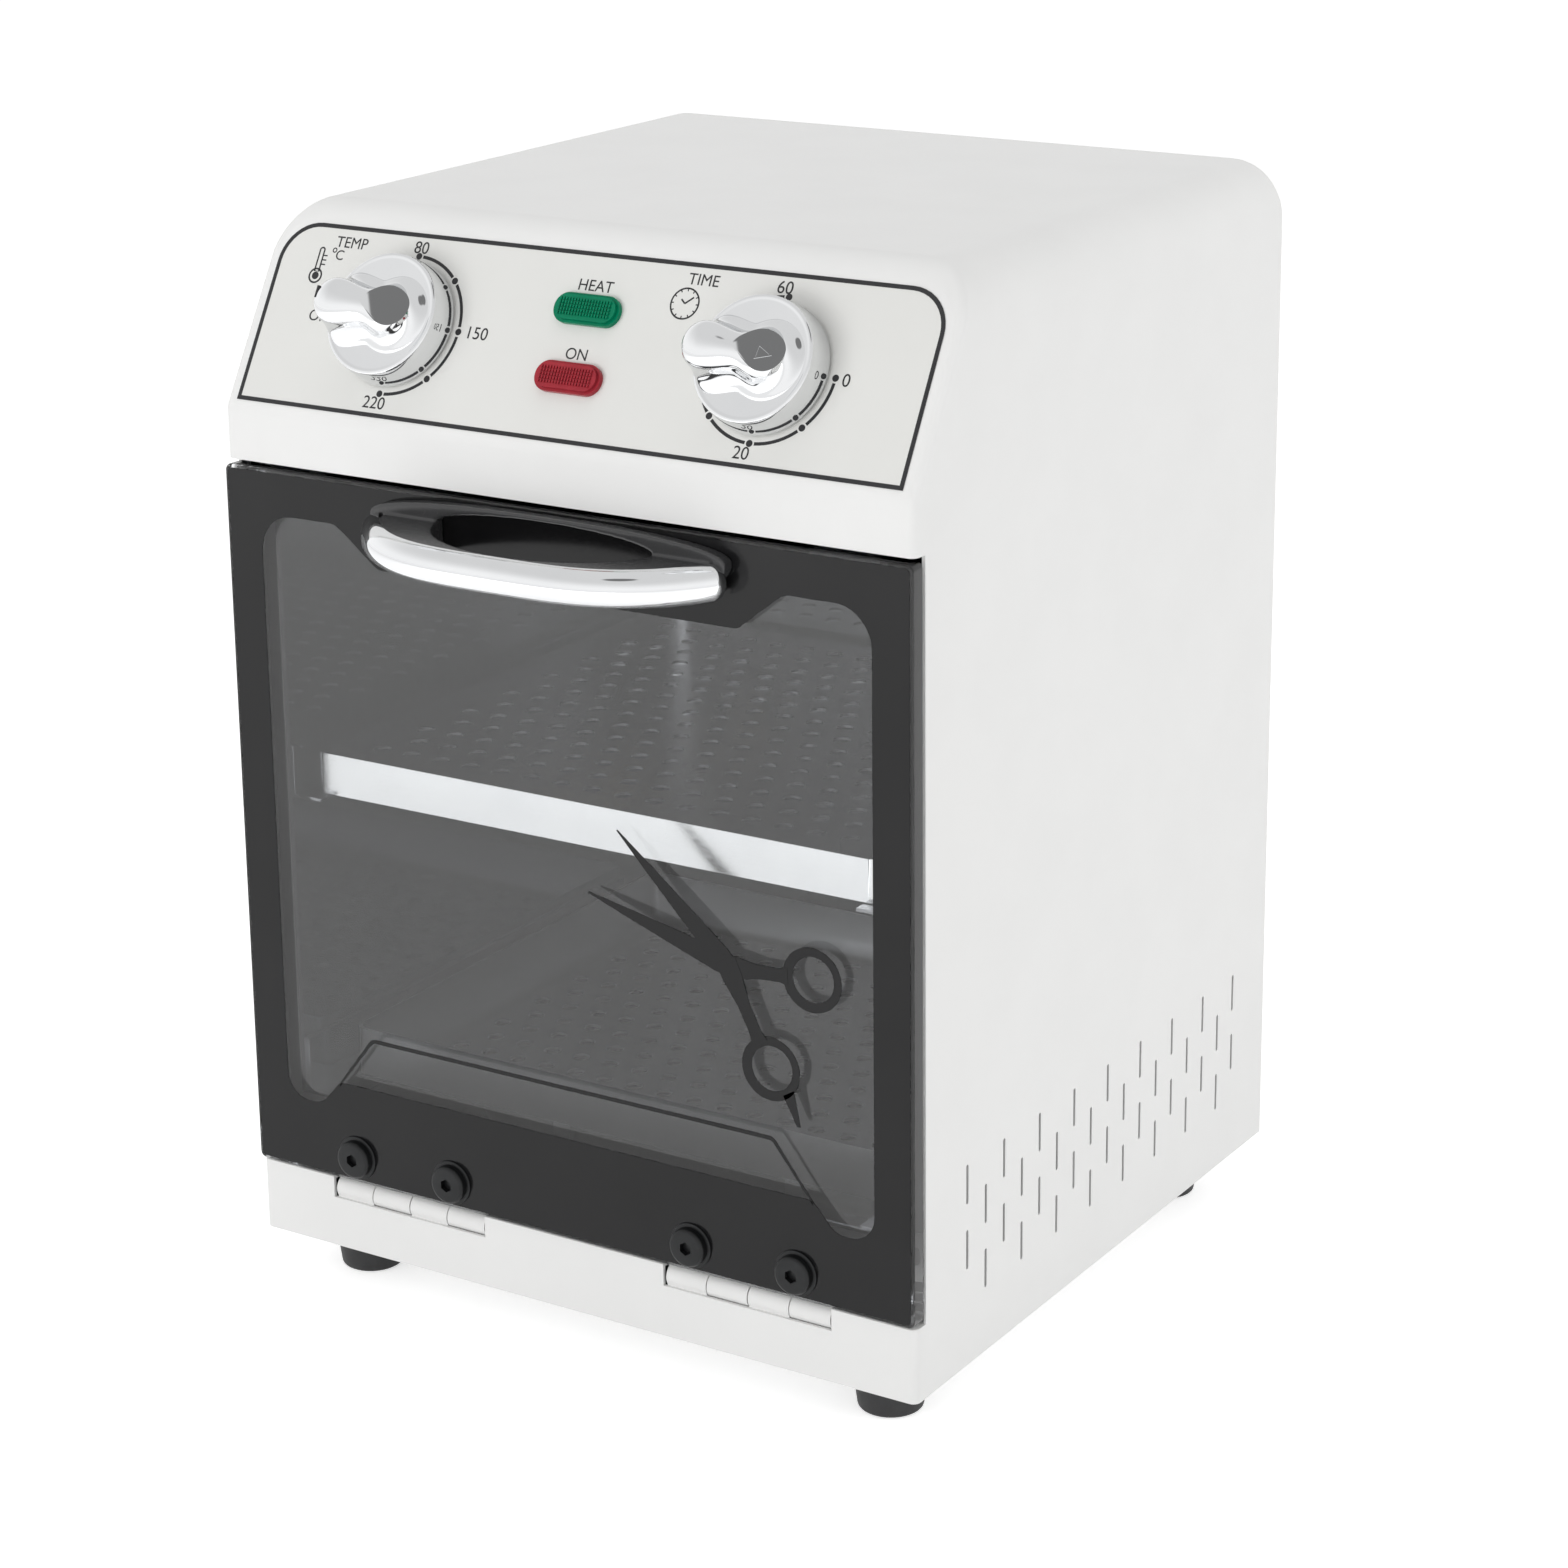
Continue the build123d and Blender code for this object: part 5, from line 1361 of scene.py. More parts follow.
@dataclass
class PanelPrint:
    """Scales, captions and signs printed on the panel film, in panel millimetres."""

    plane: Matrix
    ink: float = 0.05
    ring_radius: float = 19.75
    ring_line: float = 0.9
    dot_radius: float = 0.95
    dot_gap: float = 0.45
    dot_turn: int = 45
    temperature_scale: tuple[float, float] = (95, -88)
    timer_scale: tuple[float, float] = (0, -270)
    figure: float = 3.4
    word: float = 3.1
    captions: tuple[tuple[str, float, float, float], ...] = (
        ("TEMP", -82.5, 49.6, word),
        ("80", -58.9, 50.4, figure),
        ("ON", -86.4, 28.0, word),
        ("150", -33.2, 28.4, figure),
        ("220", -60.0, 5.8, figure),
        ("HEAT", 0.0, 45.2, word),
        ("ON", 0.0, 26.1, word),
        ("TIME", 32.5, 50.0, word),
        ("60", 57.2, 50.4, figure),
        ("0", 82.0, 27.9, figure),
        ("20", 57.3, 5.7, figure),
    )
    thermometer_place: tuple[float, float] = (-91.8, 42.6)
    clock_place: tuple[float, float] = (28.6, 43.3)
    clock_radius: float = 4.2
    clock_line: float = 0.45
    hour_marks: int = 12
    hour_mark: tuple[float, float] = (3.4, 4.1)
    hour_line: float = 0.3
    clock_hands: tuple[tuple[float, float], ...] = ((2.3, 1.9), (-1.3, 1.1))

    def shape(self, frame_line: Piece, dial_x: float) -> Piece:
        """Print everything as one piece.

        Args:
            frame_line: the printed line round the panel.
            dial_x: how far each dial's axis is from the middle.

        Returns:
            The finished mesh.
        """
        pieces = [frame_line]
        pieces += self.dial_scale(-dial_x, *self.temperature_scale)
        pieces += self.dial_scale(dial_x, *self.timer_scale)
        pieces += [self.caption(words, Vector((x, up)), height) for words, x, up, height in self.captions]
        pieces += self.thermometer() + self.clock()
        return join("panel_printing", pieces)

    def outline(self, outlines: Sequence[Sequence[Vector]]) -> Piece:
        """Print inside closed outlines."""
        return flat_piece("ink", outlines, self.plane, self.ink)

    def caption(self, words: str, place: Vector, height: float) -> Piece:
        """Print characters centred on a place."""
        return flat_text(words, place, height, self.plane, self.ink)

    def arc(self, centre: Vector, radius: float, width: float, start: float = 0, end: float = 359.9) -> Piece:
        """Print an arc of one line width.

        Args:
            centre: its middle.
            radius: radius of its middle line.
            width: its line width.
            start: where it starts, in degrees.
            end: where it ends, in degrees.

        Returns:
            The printed piece.
        """
        steps = max(8, int(abs(end - start) / 4))
        outer = arc_points(centre, radius + width / 2, start, end, steps)
        inner = arc_points(centre, radius - width / 2, end, start, steps)
        return self.outline([outer + inner])

    def dot(self, centre: Vector, radius: float) -> Piece:
        """Print a dot."""
        return self.outline([circle(centre, radius, 32)])

    def stroke(self, start: Vector, end: Vector, width: float) -> Piece:
        """Print a straight stroke."""
        side = (end - start).normalized().orthogonal() * width / 2
        return self.outline([[start - side, end - side, end + side, start + side]])

    def dial_scale(self, x: float, start: float, end: float) -> list[Piece]:
        """Print the scale ring of a dial, clockwise, with a dot at every eighth of a turn along it.

        Args:
            x: where the dial's axis is.
            start: where the ring starts, in degrees.
            end: where it ends, in degrees.

        Returns:
            The printed pieces.
        """
        centre = Vector((x, FASCIA.dial_up))
        clear = math.degrees((self.dot_radius + self.dot_gap) / self.ring_radius)
        ring, here, angle = [], start, self.dot_turn * math.floor(start / self.dot_turn)
        while angle >= end - 5:
            if here - (angle + clear) > 1:
                ring.append(self.arc(centre, self.ring_radius, self.ring_line, here, angle + clear))
            place = centre + self.ring_radius * unit(math.radians(angle))
            ring.append(self.dot(place, self.dot_radius))
            here = angle - clear
            angle -= self.dot_turn
        return ring

    def thermometer(self) -> list[Piece]:
        """Print a small thermometer sign with its degree mark.

        Returns:
            The printed pieces.
        """
        x, up = self.thermometer_place
        bulb = Vector((x, up - 3.2))
        tube = oblong((x - 0.95, up - 2), (x + 0.95, up + 5.2), 0, 0.9)
        bore = oblong((x - 0.5, up - 1.8), (x + 0.5, up + 4.75), 0, 0.45)
        levels = [up + rise for rise in (0.0, 1.3, 2.6)]
        marks = [self.outline([oblong((x + 0.9, level), (x + 2.2, level + 0.35), 0, 0)]) for level in levels]
        bulb_line = self.arc(bulb, 2.0, 0.5)
        degree = self.arc(Vector((x + 4.2, up + 4.6)), 0.6, 0.3)
        letter = self.caption("C", Vector((x + 6.3, up + 3.2)), 2.8)
        return [self.outline([tube, bore]), bulb_line, self.dot(bulb, 1.1), degree, letter] + marks

    def clock(self) -> list[Piece]:
        """Print a small clock face sign.

        Returns:
            The printed pieces.
        """
        centre = Vector(self.clock_place)
        pieces = [self.arc(centre, self.clock_radius, self.clock_line)]
        for step in range(self.hour_marks):
            turn = unit(math.tau * step / self.hour_marks)
            inner, outer = (centre + turn * reach for reach in self.hour_mark)
            pieces.append(self.stroke(inner, outer, self.hour_line))
        for tip in self.clock_hands:
            pieces.append(self.stroke(centre, centre + Vector(tip), self.clock_line))
        return pieces


@dataclass
class Knob:
    """Chromed dial: a low round skirt with a tall rounded grip, cut off slantwise at its wide end."""

    gap: float = 1.0
    base_radius: float = 18.0
    rim_radius: float = 17.0
    skirt: float = 8.5
    skirt_sides: int = 160
    height: float = 19.2
    lobe_x: float = -10.4
    lobe_radius: float = 6.6
    waist_x: float = -1.5
    waist: float = 4.9
    flare_x: float = 4.3
    flare: float = 6.8
    end_x: float = 11.0
    crown: float = 3.8
    saddle_drop: float = 2.4
    saddle_x: float = 1.0
    scoop: tuple[tuple[float, float], ...] = (
        (-0.35, 5.0), (0.0, 4.5), (0.14, 2.7), (0.34, 1.3), (0.62, 0.4), (1.0, 0.0),
    )
    scoop_margin: float = 0.9
    crown_turns: tuple[float, ...] = (20, 40, 58, 73, 84)
    facet_x: float = -0.4
    facet_slope: float = 26.0
    facet_turn: float = 30.0
    facet_sink: float = 0.05
    pointer_place: tuple[float, float] = (6.6, -3.4)
    pointer_rise: float = 0.15
    mark_radius: float = 0.55
    mark_ends: tuple[float, float] = (-0.4, 2.9)

    def shape(self, name: str, plane: Matrix, pointer: bool = False) -> Piece:
        """Build a knob on its plane.

        Args:
            name: the piece's name.
            plane: from the knob's own flat, its axis at the origin, to the row frame.
            pointer: whether the facet carries a raised triangle.

        Returns:
            The finished mesh.
        """
        pieces = [smooth(self.skirt_piece(), 30), smooth(self.grip(), 30)]
        if pointer:
            pieces.append(self.pointer())
        return put_on(join(name, pieces), plane)

    def skirt_piece(self) -> Piece:
        """Turn the tapered skirt, with a fine rim round its flat top.

        Returns:
            The skirt's mesh.
        """
        base, rim, top = self.base_radius, self.rim_radius, self.gap + self.skirt
        profile = (
            (base - 0.6, self.gap), (base - 0.1, self.gap + 0.2), (base, self.gap + 0.8),
            (rim + 0.3, top - 0.8), (rim + 0.15, top - 0.3), (rim - 0.2, top - 0.05),
            (rim - 0.6, top), (rim - 1.0, top - 0.12), (rim - 1.5, top - 0.15),
        )
        turns = [unit(math.tau * step / self.skirt_sides) for step in range(self.skirt_sides)]
        return loft("skirt", [[Vector((*(turn * radius), z)) for turn in turns] for radius, z in profile])

    def top_height(self, x: float) -> float:
        """Height of the grip's crest along its length, before the slanting cut."""
        share = min(max((x - self.lobe_x) / (self.saddle_x - self.lobe_x), 0.0), 1.0)
        return self.gap + self.height - self.saddle_drop * ease(share)

    def grip(self) -> Piece:
        """Loft the grip from its scooped foot to its round crest, then cut it slantwise at the wide end.

        Returns:
            The grip's mesh.
        """
        plan = self.plan()
        foot = self.gap + self.skirt
        rings = []
        for share, spread in self.scoop:
            ring = []
            for point in offset_outline(plan, spread):
                point = point * min(1.0, (self.rim_radius - self.scoop_margin) / point.length)
                top = self.top_height(point.x) - self.crown
                ring.append(Vector((point.x, point.y, foot + share * (top - foot))))
            rings.append(ring)
        for turn in self.crown_turns:
            narrow, rise = unit(math.radians(turn))
            ring = []
            for point in plan:
                middle = min(max(point.x, self.lobe_x), self.flare_x)
                x = middle + (point.x - middle) * narrow
                ring.append(Vector((x, point.y * narrow, self.top_height(x) - self.crown * (1 - rise))))
            rings.append(ring)
        grip = loft("grip", rings, crested=True)
        use_modifier(grip, "SUBSURF", levels=2)
        return cut(grip, [put_on(add_block("wedge", (-9, -18, 0), (34, 18, 20)), self.facet_plane())])

    def facet_plane(self) -> Matrix:
        """Lay out the slanting cut, which falls from the crest towards the wide end, turned a little upwards.

        Returns:
            The matrix from the cut's flat to the knob's.
        """
        turn = Matrix.Rotation(math.radians(self.facet_turn), 4, "Z")
        slope = Matrix.Rotation(math.radians(self.facet_slope), 4, "Y")
        level = self.top_height(self.facet_x) - self.facet_sink
        return Matrix.Translation((self.facet_x, 0, level)) @ (turn @ slope)

    def pointer(self) -> Piece:
        """Raise the outline of a small triangle on the facet.

        Returns:
            The triangle's mesh.
        """
        outer = rounded([(-1.9, -2.2, 0.1), (2.3, 0, 0.1), (-1.9, 2.2, 0.1)], 2)
        inner = rounded([(-1.55, -1.65, 0.1), (1.65, 0, 0.1), (-1.55, 1.65, 0.1)], 2)
        turn = Matrix.Rotation(-math.radians(self.facet_turn), 4, "Z")
        level = Matrix.Translation((*self.pointer_place, 0)) @ turn
        return flat_piece("pointer", [outer, inner], self.facet_plane() @ level, self.pointer_rise)

    def index_mark(self, name: str, plane: Matrix) -> Piece:
        """Let a short dark bar into the narrow end, at right angles to the grip.

        Args:
            name: the piece's name.
            plane: from the knob's own flat to the row frame.

        Returns:
            The finished mesh.
        """
        x = self.lobe_x - self.lobe_radius * 0.72
        z = self.gap + self.height - self.crown * 0.42
        start, end = (Vector((x, y, z)) for y in self.mark_ends)
        return smooth(put_on(add_bar(name, start, end, self.mark_radius, 20), plane), 40)

    def plan(self) -> list[Vector]:
        """Draw the grip as seen from the front.

        Returns:
            Its outline, anticlockwise from the tip of its lobe.
        """
        half = arc_points(Vector((self.lobe_x, 0)), self.lobe_radius, 180, 270, 7)
        for share in (0.25, 0.5, 0.75, 1.0):
            x = self.lobe_x + (self.waist_x - self.lobe_x) * share
            half.append(Vector((x, -self.lobe_radius + (self.lobe_radius - self.waist) * ease(share))))
        for share in (0.33, 0.66):
            x = self.waist_x + (self.flare_x - self.waist_x) * share
            half.append(Vector((x, -self.waist - (self.flare - self.waist) * ease(share))))
        for step in range(9):
            turn = unit(math.pi / 2 * step / 8)
            x = self.flare_x + (self.end_x - self.flare_x) * turn.y
            half.append(Vector((x, -self.flare * turn.x)))
        return half + [Vector((point.x, -point.y)) for point in reversed(half[1:-1])]


@dataclass
class Lamp:
    """Moulded lens: stepped oblong rim round a ribbed field."""

    length: float = 20.7
    height: float = 8.5
    rise: float = 3.0
    step: float = 0.8
    rim_edge: float = 0.5
    field_edge: float = 1.3
    end_share: float = 0.98
    rib_pitch: float = 0.92
    rib: float = 0.46
    rib_height: float = 0.66
    rib_margin: float = 3.0
    rib_sink: float = 0.2
    rows: int = 5
    row_pitch: float = 1.0
    rib_rise: float = 0.5

    def shape(self, name: str, plane: Matrix) -> Piece:
        """Build a lens on its plane.

        Args:
            name: the piece's name.
            plane: from the lens's own flat to the row frame.

        Returns:
            The finished mesh.
        """
        level = self.rise - self.rib_rise
        length, height = self.length - 2 * self.step, self.height - 2 * self.step
        parts = [
            self.stadium("rim", self.length, self.height, self.rise / 2, self.rim_edge),
            self.stadium("field", length, height, level, self.field_edge),
        ]
        columns = int((length - self.rib_margin) / self.rib_pitch)
        for row in range(self.rows):
            for column in range(columns + 1):
                x = (column - columns / 2) * self.rib_pitch
                y = (row - (self.rows - 1) / 2) * self.row_pitch
                low = (x - self.rib / 2, y - self.rib_height / 2, level - self.rib_sink)
                parts.append(add_block("rib", low, (x + self.rib / 2, y + self.rib_height / 2, self.rise)))
        return flatten_shading(smooth(put_on(join(name, parts), plane), 40))

    def stadium(self, name: str, length: float, height: float, rise: float, edge: float) -> Piece:
        """Build a round-ended block standing on the flat.

        Args:
            name: the block's name.
            length: its length.
            height: its height.
            rise: how far it stands up.
            edge: radius of its edges.

        Returns:
            The block's mesh.
        """
        half, radius = length / 2, height / 2
        end = radius * self.end_share
        outline = oblong((-half, -radius), (half, radius), end, end, 10)
        block = weld(flat_piece(name, [outline], Matrix.Identity(4), rise))
        return round_sharp(block, edge, 5, 60)


# ---------------------------------------------------------------- door
@dataclass
class Door:
    """Glass pane with its fired print and the heads of its bolts."""

    corner: float = 2.0
    arris: float = 0.5
    inset: float = 1.0
    border_corner: float = 1.5
    window_x: float = 98.0
    window_top: float = 232.0
    window_bottom: float = 59.0
    band_outer: tuple[float, ...] = (79.0, 67.0, 67.0, 82.7, 3)
    band_inner: tuple[float, ...] = (79.2, 65.6, 66.5, 81.5, 2)
    print_rise: float = 0.03
    print_thickness: float = 0.06
    washer_radius: float = 6.5
    washer_thickness: float = 0.6
    washer_edge: float = 0.2
    head_radius: float = 5.5
    head_edge: float = 1.0
    socket_radius: float = 1.95
    socket_depth: float = 1.6
    bolt_pitch: float = 33.5

    def build(self) -> None:
        """Build and dress the door."""
        fit(self.pane(), Body.DOOR, "door_pane", replaces=["door_glass"])
        plane = PANE @ Matrix.Translation((0, 0, self.print_rise))
        fit(self.window_print(plane), Body.DOOR, "door_pane", CERAMIC_PRINT)
        fit(Scissors(plane, self.print_thickness).shape(), Body.DOOR, "door_pane", CERAMIC_PRINT)
        fit(self.bolts(), Body.DOOR, "black_fastener", replaces=["door_bolts", "door_washers"])
        Handle().build()

    def pane(self) -> Piece:
        """Cut the tempered pane, with ground corners and arrises.

        Returns:
            The finished mesh.
        """
        pane = add_block("glass_pane", GLASS_LOW, GLASS_HIGH)
        bevel_edges(pane, lambda a, b: abs(a.y - b.y) > 1, self.corner, 6)
        round_sharp(pane, self.arris, 3, 50)
        return flatten_shading(smooth(pane, 30))

    def window_print(self, plane: Matrix) -> Piece:
        """Print the dark border that leaves the window clear, and the thin line that closes its lower band.

        Args:
            plane: the print's flat.

        Returns:
            The finished mesh.
        """
        side, low, high = GLASS_HIGH.x - self.inset, GLASS_LOW.z + self.inset, GLASS_HIGH.z - self.inset
        edge = oblong((-side, low), (side, high), self.border_corner, self.border_corner, 4)
        border = flat_piece("border", [edge, self.window_outline()], plane, self.print_thickness)
        band = self.band(*self.band_outer) + self.band(*self.band_inner)[::-1]
        line = flat_piece("line", [band], plane, self.print_thickness)
        return join("window_print", [border, line])

    @staticmethod
    def band(foot_x: float, foot_z: float, knee_x: float, knee_z: float, radius: float) -> list[Vector]:
        """Draw one edge of the lower band's line, from foot to foot over its two knees.

        Args:
            foot_x: how far its feet are from the middle.
            foot_z: height of its feet.
            knee_x: how far its knees are from the middle.
            knee_z: height of its knees.
            radius: rounding of its knees.

        Returns:
            The edge's points.
        """
        knees = [(-knee_x, knee_z, radius), (knee_x, knee_z, radius)]
        return rounded([(-foot_x, foot_z, 0), *knees, (foot_x, foot_z, 0)])

    def window_outline(self) -> list[Vector]:
        """Draw the clear window, mirrored about the door's middle.

        Returns:
            Its outline.
        """
        half = [
            (58.0, 221.0, 4),
            (72.0, self.window_top, 5),
            (self.window_x, self.window_top, 11),
            (self.window_x, self.window_bottom, 7.5),
            (86.2, self.window_bottom, 6.5),
            (*self.band_outer[:2], 3),
        ]
        mirrored = [(-x, z, radius) for x, z, radius in reversed(half)]
        return rounded(half + mirrored, 10)

    def bolts(self) -> Piece:
        """Turn four button-headed bolts with hexagon sockets, on flat washers.

        Returns:
            The finished mesh.
        """
        front = low_high("door_bolts")[0].y
        washer_low, washer_high = low_high("door_washers")
        seat, level = washer_low.y, (washer_low.z + washer_high.z) / 2
        outer = washer_high.x - self.washer_radius
        inner = outer - self.bolt_pitch
        pieces = []
        for x in (-outer, -inner, inner, outer):
            centre = Vector((x, 0, level))
            rear = centre + BACK * (seat + self.washer_thickness)
            washer = add_bar("washer", rear, centre + BACK * seat, self.washer_radius)
            round_sharp(washer, self.washer_edge, 2, 50)
            head = add_bar("head", centre + BACK * seat, centre + BACK * front, self.head_radius)
            bevel_edges(head, lambda a, b: max(a.y, b.y) < front + NEAR, self.head_edge, 4)
            mouth, floor = centre + BACK * (front - 1), centre + BACK * (front + self.socket_depth)
            cut(head, [add_bar("socket", mouth, floor, self.socket_radius, 6)])
            pieces += [washer, head]
        return smooth(join("door_bolt_heads", pieces), 40)


@dataclass
class Scissors:
    """Plain hairdressing-scissors sign, its places measured on the pane from the cabinet's underside."""

    plane: Matrix
    thickness: float
    pivot: tuple[float, float] = (53.6, 112.9)
    rings: tuple[tuple[float, float], ...] = ((79.5, 114.2), (66.5, 86.8))
    tips: tuple[tuple[float, float], ...] = ((9.2, 125.7), (19.0, 144.9))
    tail: tuple[tuple[float, float], ...] = ((70.2, 80.0), (73.6, 82.0), (75.6, 72.0), (74.4, 72.0))
    ring_radius: float = 9.0
    ring_bore: float = 6.3
    ring_shift: tuple[float, float] = (0.4, 0.2)
    ring_sides: int = 48
    layer: float = 0.02
    blade_widths: tuple[tuple[float, float], ...] = (
        (0.0, 0.25), (0.3, 1.5), (0.7, 2.9), (0.92, 3.6), (1.05, 3.2),
    )
    blade_back: float = 0.8
    arm_widths: tuple[tuple[float, float], ...] = (
        (-0.1, 3.4), (0.15, 3.2), (0.5, 2.0), (0.85, 1.9), (1.0, 2.6),
    )
    arm_gap: float = 7.5

    def shape(self) -> Piece:
        """Print the sign, each blade and arm a hair above the one it crosses.

        Returns:
            The finished mesh.
        """
        pivot = self.place(self.pivot)
        pieces = []
        for side, (tip, ring) in enumerate(zip(self.tips, self.rings)):
            end, middle = self.place(tip), self.place(ring)
            height = self.layer * (side + 1)
            blade = self.strip(end, pivot, (pivot - end).length, self.blade_widths, self.blade_back)
            pieces.append(self.drawn([blade], height))
            arm = self.strip(pivot, middle, (middle - pivot).length - self.arm_gap, self.arm_widths, 1)
            pieces.append(self.drawn([arm], 3 * height))
            bore = circle(middle + Vector(self.ring_shift), self.ring_bore, self.ring_sides)
            pieces.append(self.drawn([circle(middle, self.ring_radius, self.ring_sides), bore]))
        pieces.append(self.drawn([[self.place(corner) for corner in self.tail]]))
        return join("scissors_print", pieces)

    def place(self, point: tuple[float, float]) -> Vector:
        """A point of the sign on the pane's flat."""
        return Vector((point[0], point[1] + SHELL_LOW.z))

    def drawn(self, outlines: Sequence[Sequence[Vector]], height: float = 0.0) -> Piece:
        """Print inside closed outlines, at a height over the pane."""
        return flat_piece("ink", outlines, self.plane @ Matrix.Translation((0, 0, height)), self.thickness)

    @staticmethod
    def strip(
        start: Vector, end: Vector, length: float, widths: Sequence[tuple[float, float]], back: float
    ) -> list[Vector]:
        """Draw a slender strip of changing width.

        Args:
            start: where it starts.
            end: the point it runs towards.
            length: the length that shares are taken of.
            widths: share of the length and half width of each station.
            back: half width of its other side, as a share of this one's.

        Returns:
            Its outline.
        """
        run = (end - start).normalized()
        side = Vector((-run.y, run.x))
        upper = [start + run * length * share + side * width for share, width in widths]
        lower = [start + run * length * share - side * width * back for share, width in widths]
        return upper + lower[::-1]


@dataclass
class Handle:
    """Bow handle: black moulding on the pane with a chromed half-round front."""

    half_length: float = 57.3
    reach: float = 31.29
    exponent: float = 2.56
    grip_steps: int = 72
    chrome: float = 5.0
    chrome_gap: float = 0.25
    chrome_half: float = 52.8
    chrome_end: float = 5.0
    chrome_exponent: float = 3.6
    dome: float = 4.4
    dome_steps: int = 7
    dome_turn: float = 12.4
    bow_steps: int = 64
    section_steps: int = 18
    recess: float = 0.5
    plate: float = 4.0
    plate_half: float = 56.8
    plate_drop: float = 1.5
    plate_exponent: float = 2.5
    plate_steps: int = 96
    pocket_rise: float = 4.4
    pocket_steps: int = 48
    web: float = -0.5
    opening_half: float = 35.0
    opening_front: float = 7.5
    opening_steps: int = 40
    spare: float = 3.0
    voxel: float = 0.42
    smoothing: int = 6

    def build(self) -> None:
        """Build and dress the handle."""
        fit(self.trim(), Body.DOOR, "bright_chrome", replaces=["handle_trim"])
        fit(self.moulding(), Body.DOOR, "black_moulding", replaces=["handle_body"])

    def bow(self, inset: float) -> list[Vector]:
        """Draw the handle's plan, half a superellipse whose y is how far it stands off the pane.

        Args:
            inset: how far it is drawn in.

        Returns:
            Its points from left to right.
        """
        points = []
        power = 2 / self.exponent
        for step in range(self.grip_steps + 1):
            angle = math.pi * (1 - step / self.grip_steps)
            x = squared(math.cos(angle), power) * (self.half_length - inset)
            points.append(Vector((x, abs(math.sin(angle)) ** power * (self.reach - inset))))
        return points

    def plan_plane(self, z: float) -> Matrix:
        """Plan view of the handle: x along the door, y off the pane, height downwards from z."""
        return flat_to_row(Vector((0, GLASS_LOW.y, z)), RIGHT, -BACK, -UP)

    def trim(self) -> Piece:
        """Bend the chromed bar along the bow, half round in section, with domed ends.

        Returns:
            The finished mesh.
        """
        low, high = low_high("handle_trim")
        rise = (high.z - low.z) / 2
        plane = self.plan_plane(high.z - rise)
        rings = []
        for point, along, size in self.stations():
            out = Vector((-along.y, along.x)).normalized()
            ring = []
            for step in range(self.section_steps + 1):
                angle = math.pi * (step / self.section_steps - 0.5)
                away = point + out * self.chrome * size * math.cos(angle)
                ring.append(plane @ Vector((away.x, away.y, rise * size * math.sin(angle))))
            rings.append(ring)
        return smooth(close(loft("handle_strip", rings)), 40)

    def stations(self) -> list[tuple[Vector, Vector, float]]:
        """Set out the chromed bar's sections from end to end.

        Returns:
            Place, direction and size of each section, the size a share of the full one.
        """
        path = []
        axis = self.reach - self.chrome
        for step in range(self.bow_steps + 1):
            x = (step / self.bow_steps * 2 - 1) * self.chrome_half
            drop = (axis - self.chrome_end) * abs(x / self.chrome_half) ** self.chrome_exponent
            path.append(Vector((x, axis - drop)))
        last = len(path) - 1
        bar = [(point, path[min(at + 1, last)] - path[max(at - 1, 0)], 1.0) for at, point in enumerate(path)]
        left = [(place, -along, size) for place, along, size in self.domed(path[0], path[0] - path[1])]
        return left[::-1] + bar + self.domed(path[-1], path[-1] - path[-2])

    def domed(self, end: Vector, along: Vector) -> list[tuple[Vector, Vector, float]]:
        """Set out the sections of a domed end.

        Args:
            end: where the bar ends and the dome starts.
            along: the way out of the bar.

        Returns:
            Place, direction and size of each section.
        """
        dome = []
        for step in range(1, self.dome_steps + 1):
            turn = math.radians(step * self.dome_turn)
            dome.append((end + along.normalized() * self.dome * math.sin(turn), along, math.cos(turn)))
        return dome

    def moulding(self) -> Piece:
        """Mould the black part: arched plate on the pane, grip behind the chrome, open in the middle.

        Returns:
            The finished mesh.
        """
        low, high = low_high("handle_trim")
        body_low, body_high = low_high("handle_body")
        top, foot = high.z - self.recess, low.z - self.plate_drop
        outline = self.bow(self.chrome + self.chrome_gap)
        grip = close(flat_piece("grip", [outline], self.plan_plane(top), top - low.z - self.recess))
        plate = close(flat_piece("plate", [self.plate_outline(foot, body_high.z, top)], PANE, self.plate))
        arch = half_ellipse(self.opening_half, self.pocket_rise, top, self.pocket_steps)
        arch += [Vector((x, foot - self.spare)) for x in (-self.opening_half, self.opening_half)]
        web = PANE @ Matrix.Translation((0, 0, self.web))
        cut(plate, [close(flat_piece("pocket", [arch], web, self.plate + 1))])
        depth = self.reach - self.opening_front - self.web
        hole = half_ellipse(self.opening_half, depth, self.web, self.opening_steps)
        height = body_high.z - body_low.z + 2 * self.spare
        cut(grip, [close(flat_piece("opening", [hole], self.plan_plane(body_high.z + self.spare), height))])
        return blended("handle_moulding", [grip, plate], self.voxel, self.smoothing)

    def plate_outline(self, low: float, high: float, level: float) -> list[Vector]:
        """Draw the plate, an oblong with full round ends, taller above a level than below it.

        Args:
            low: its lowest height.
            high: its highest height.
            level: the level.

        Returns:
            Its outline.
        """
        outline = []
        power = 2 / self.plate_exponent
        for step in range(self.plate_steps):
            angle = math.tau * step / self.plate_steps
            z = squared(math.sin(angle), power)
            reach = high - level if z > 0 else level - low
            outline.append(Vector((squared(math.cos(angle), power) * self.plate_half, level + z * reach)))
        return outline


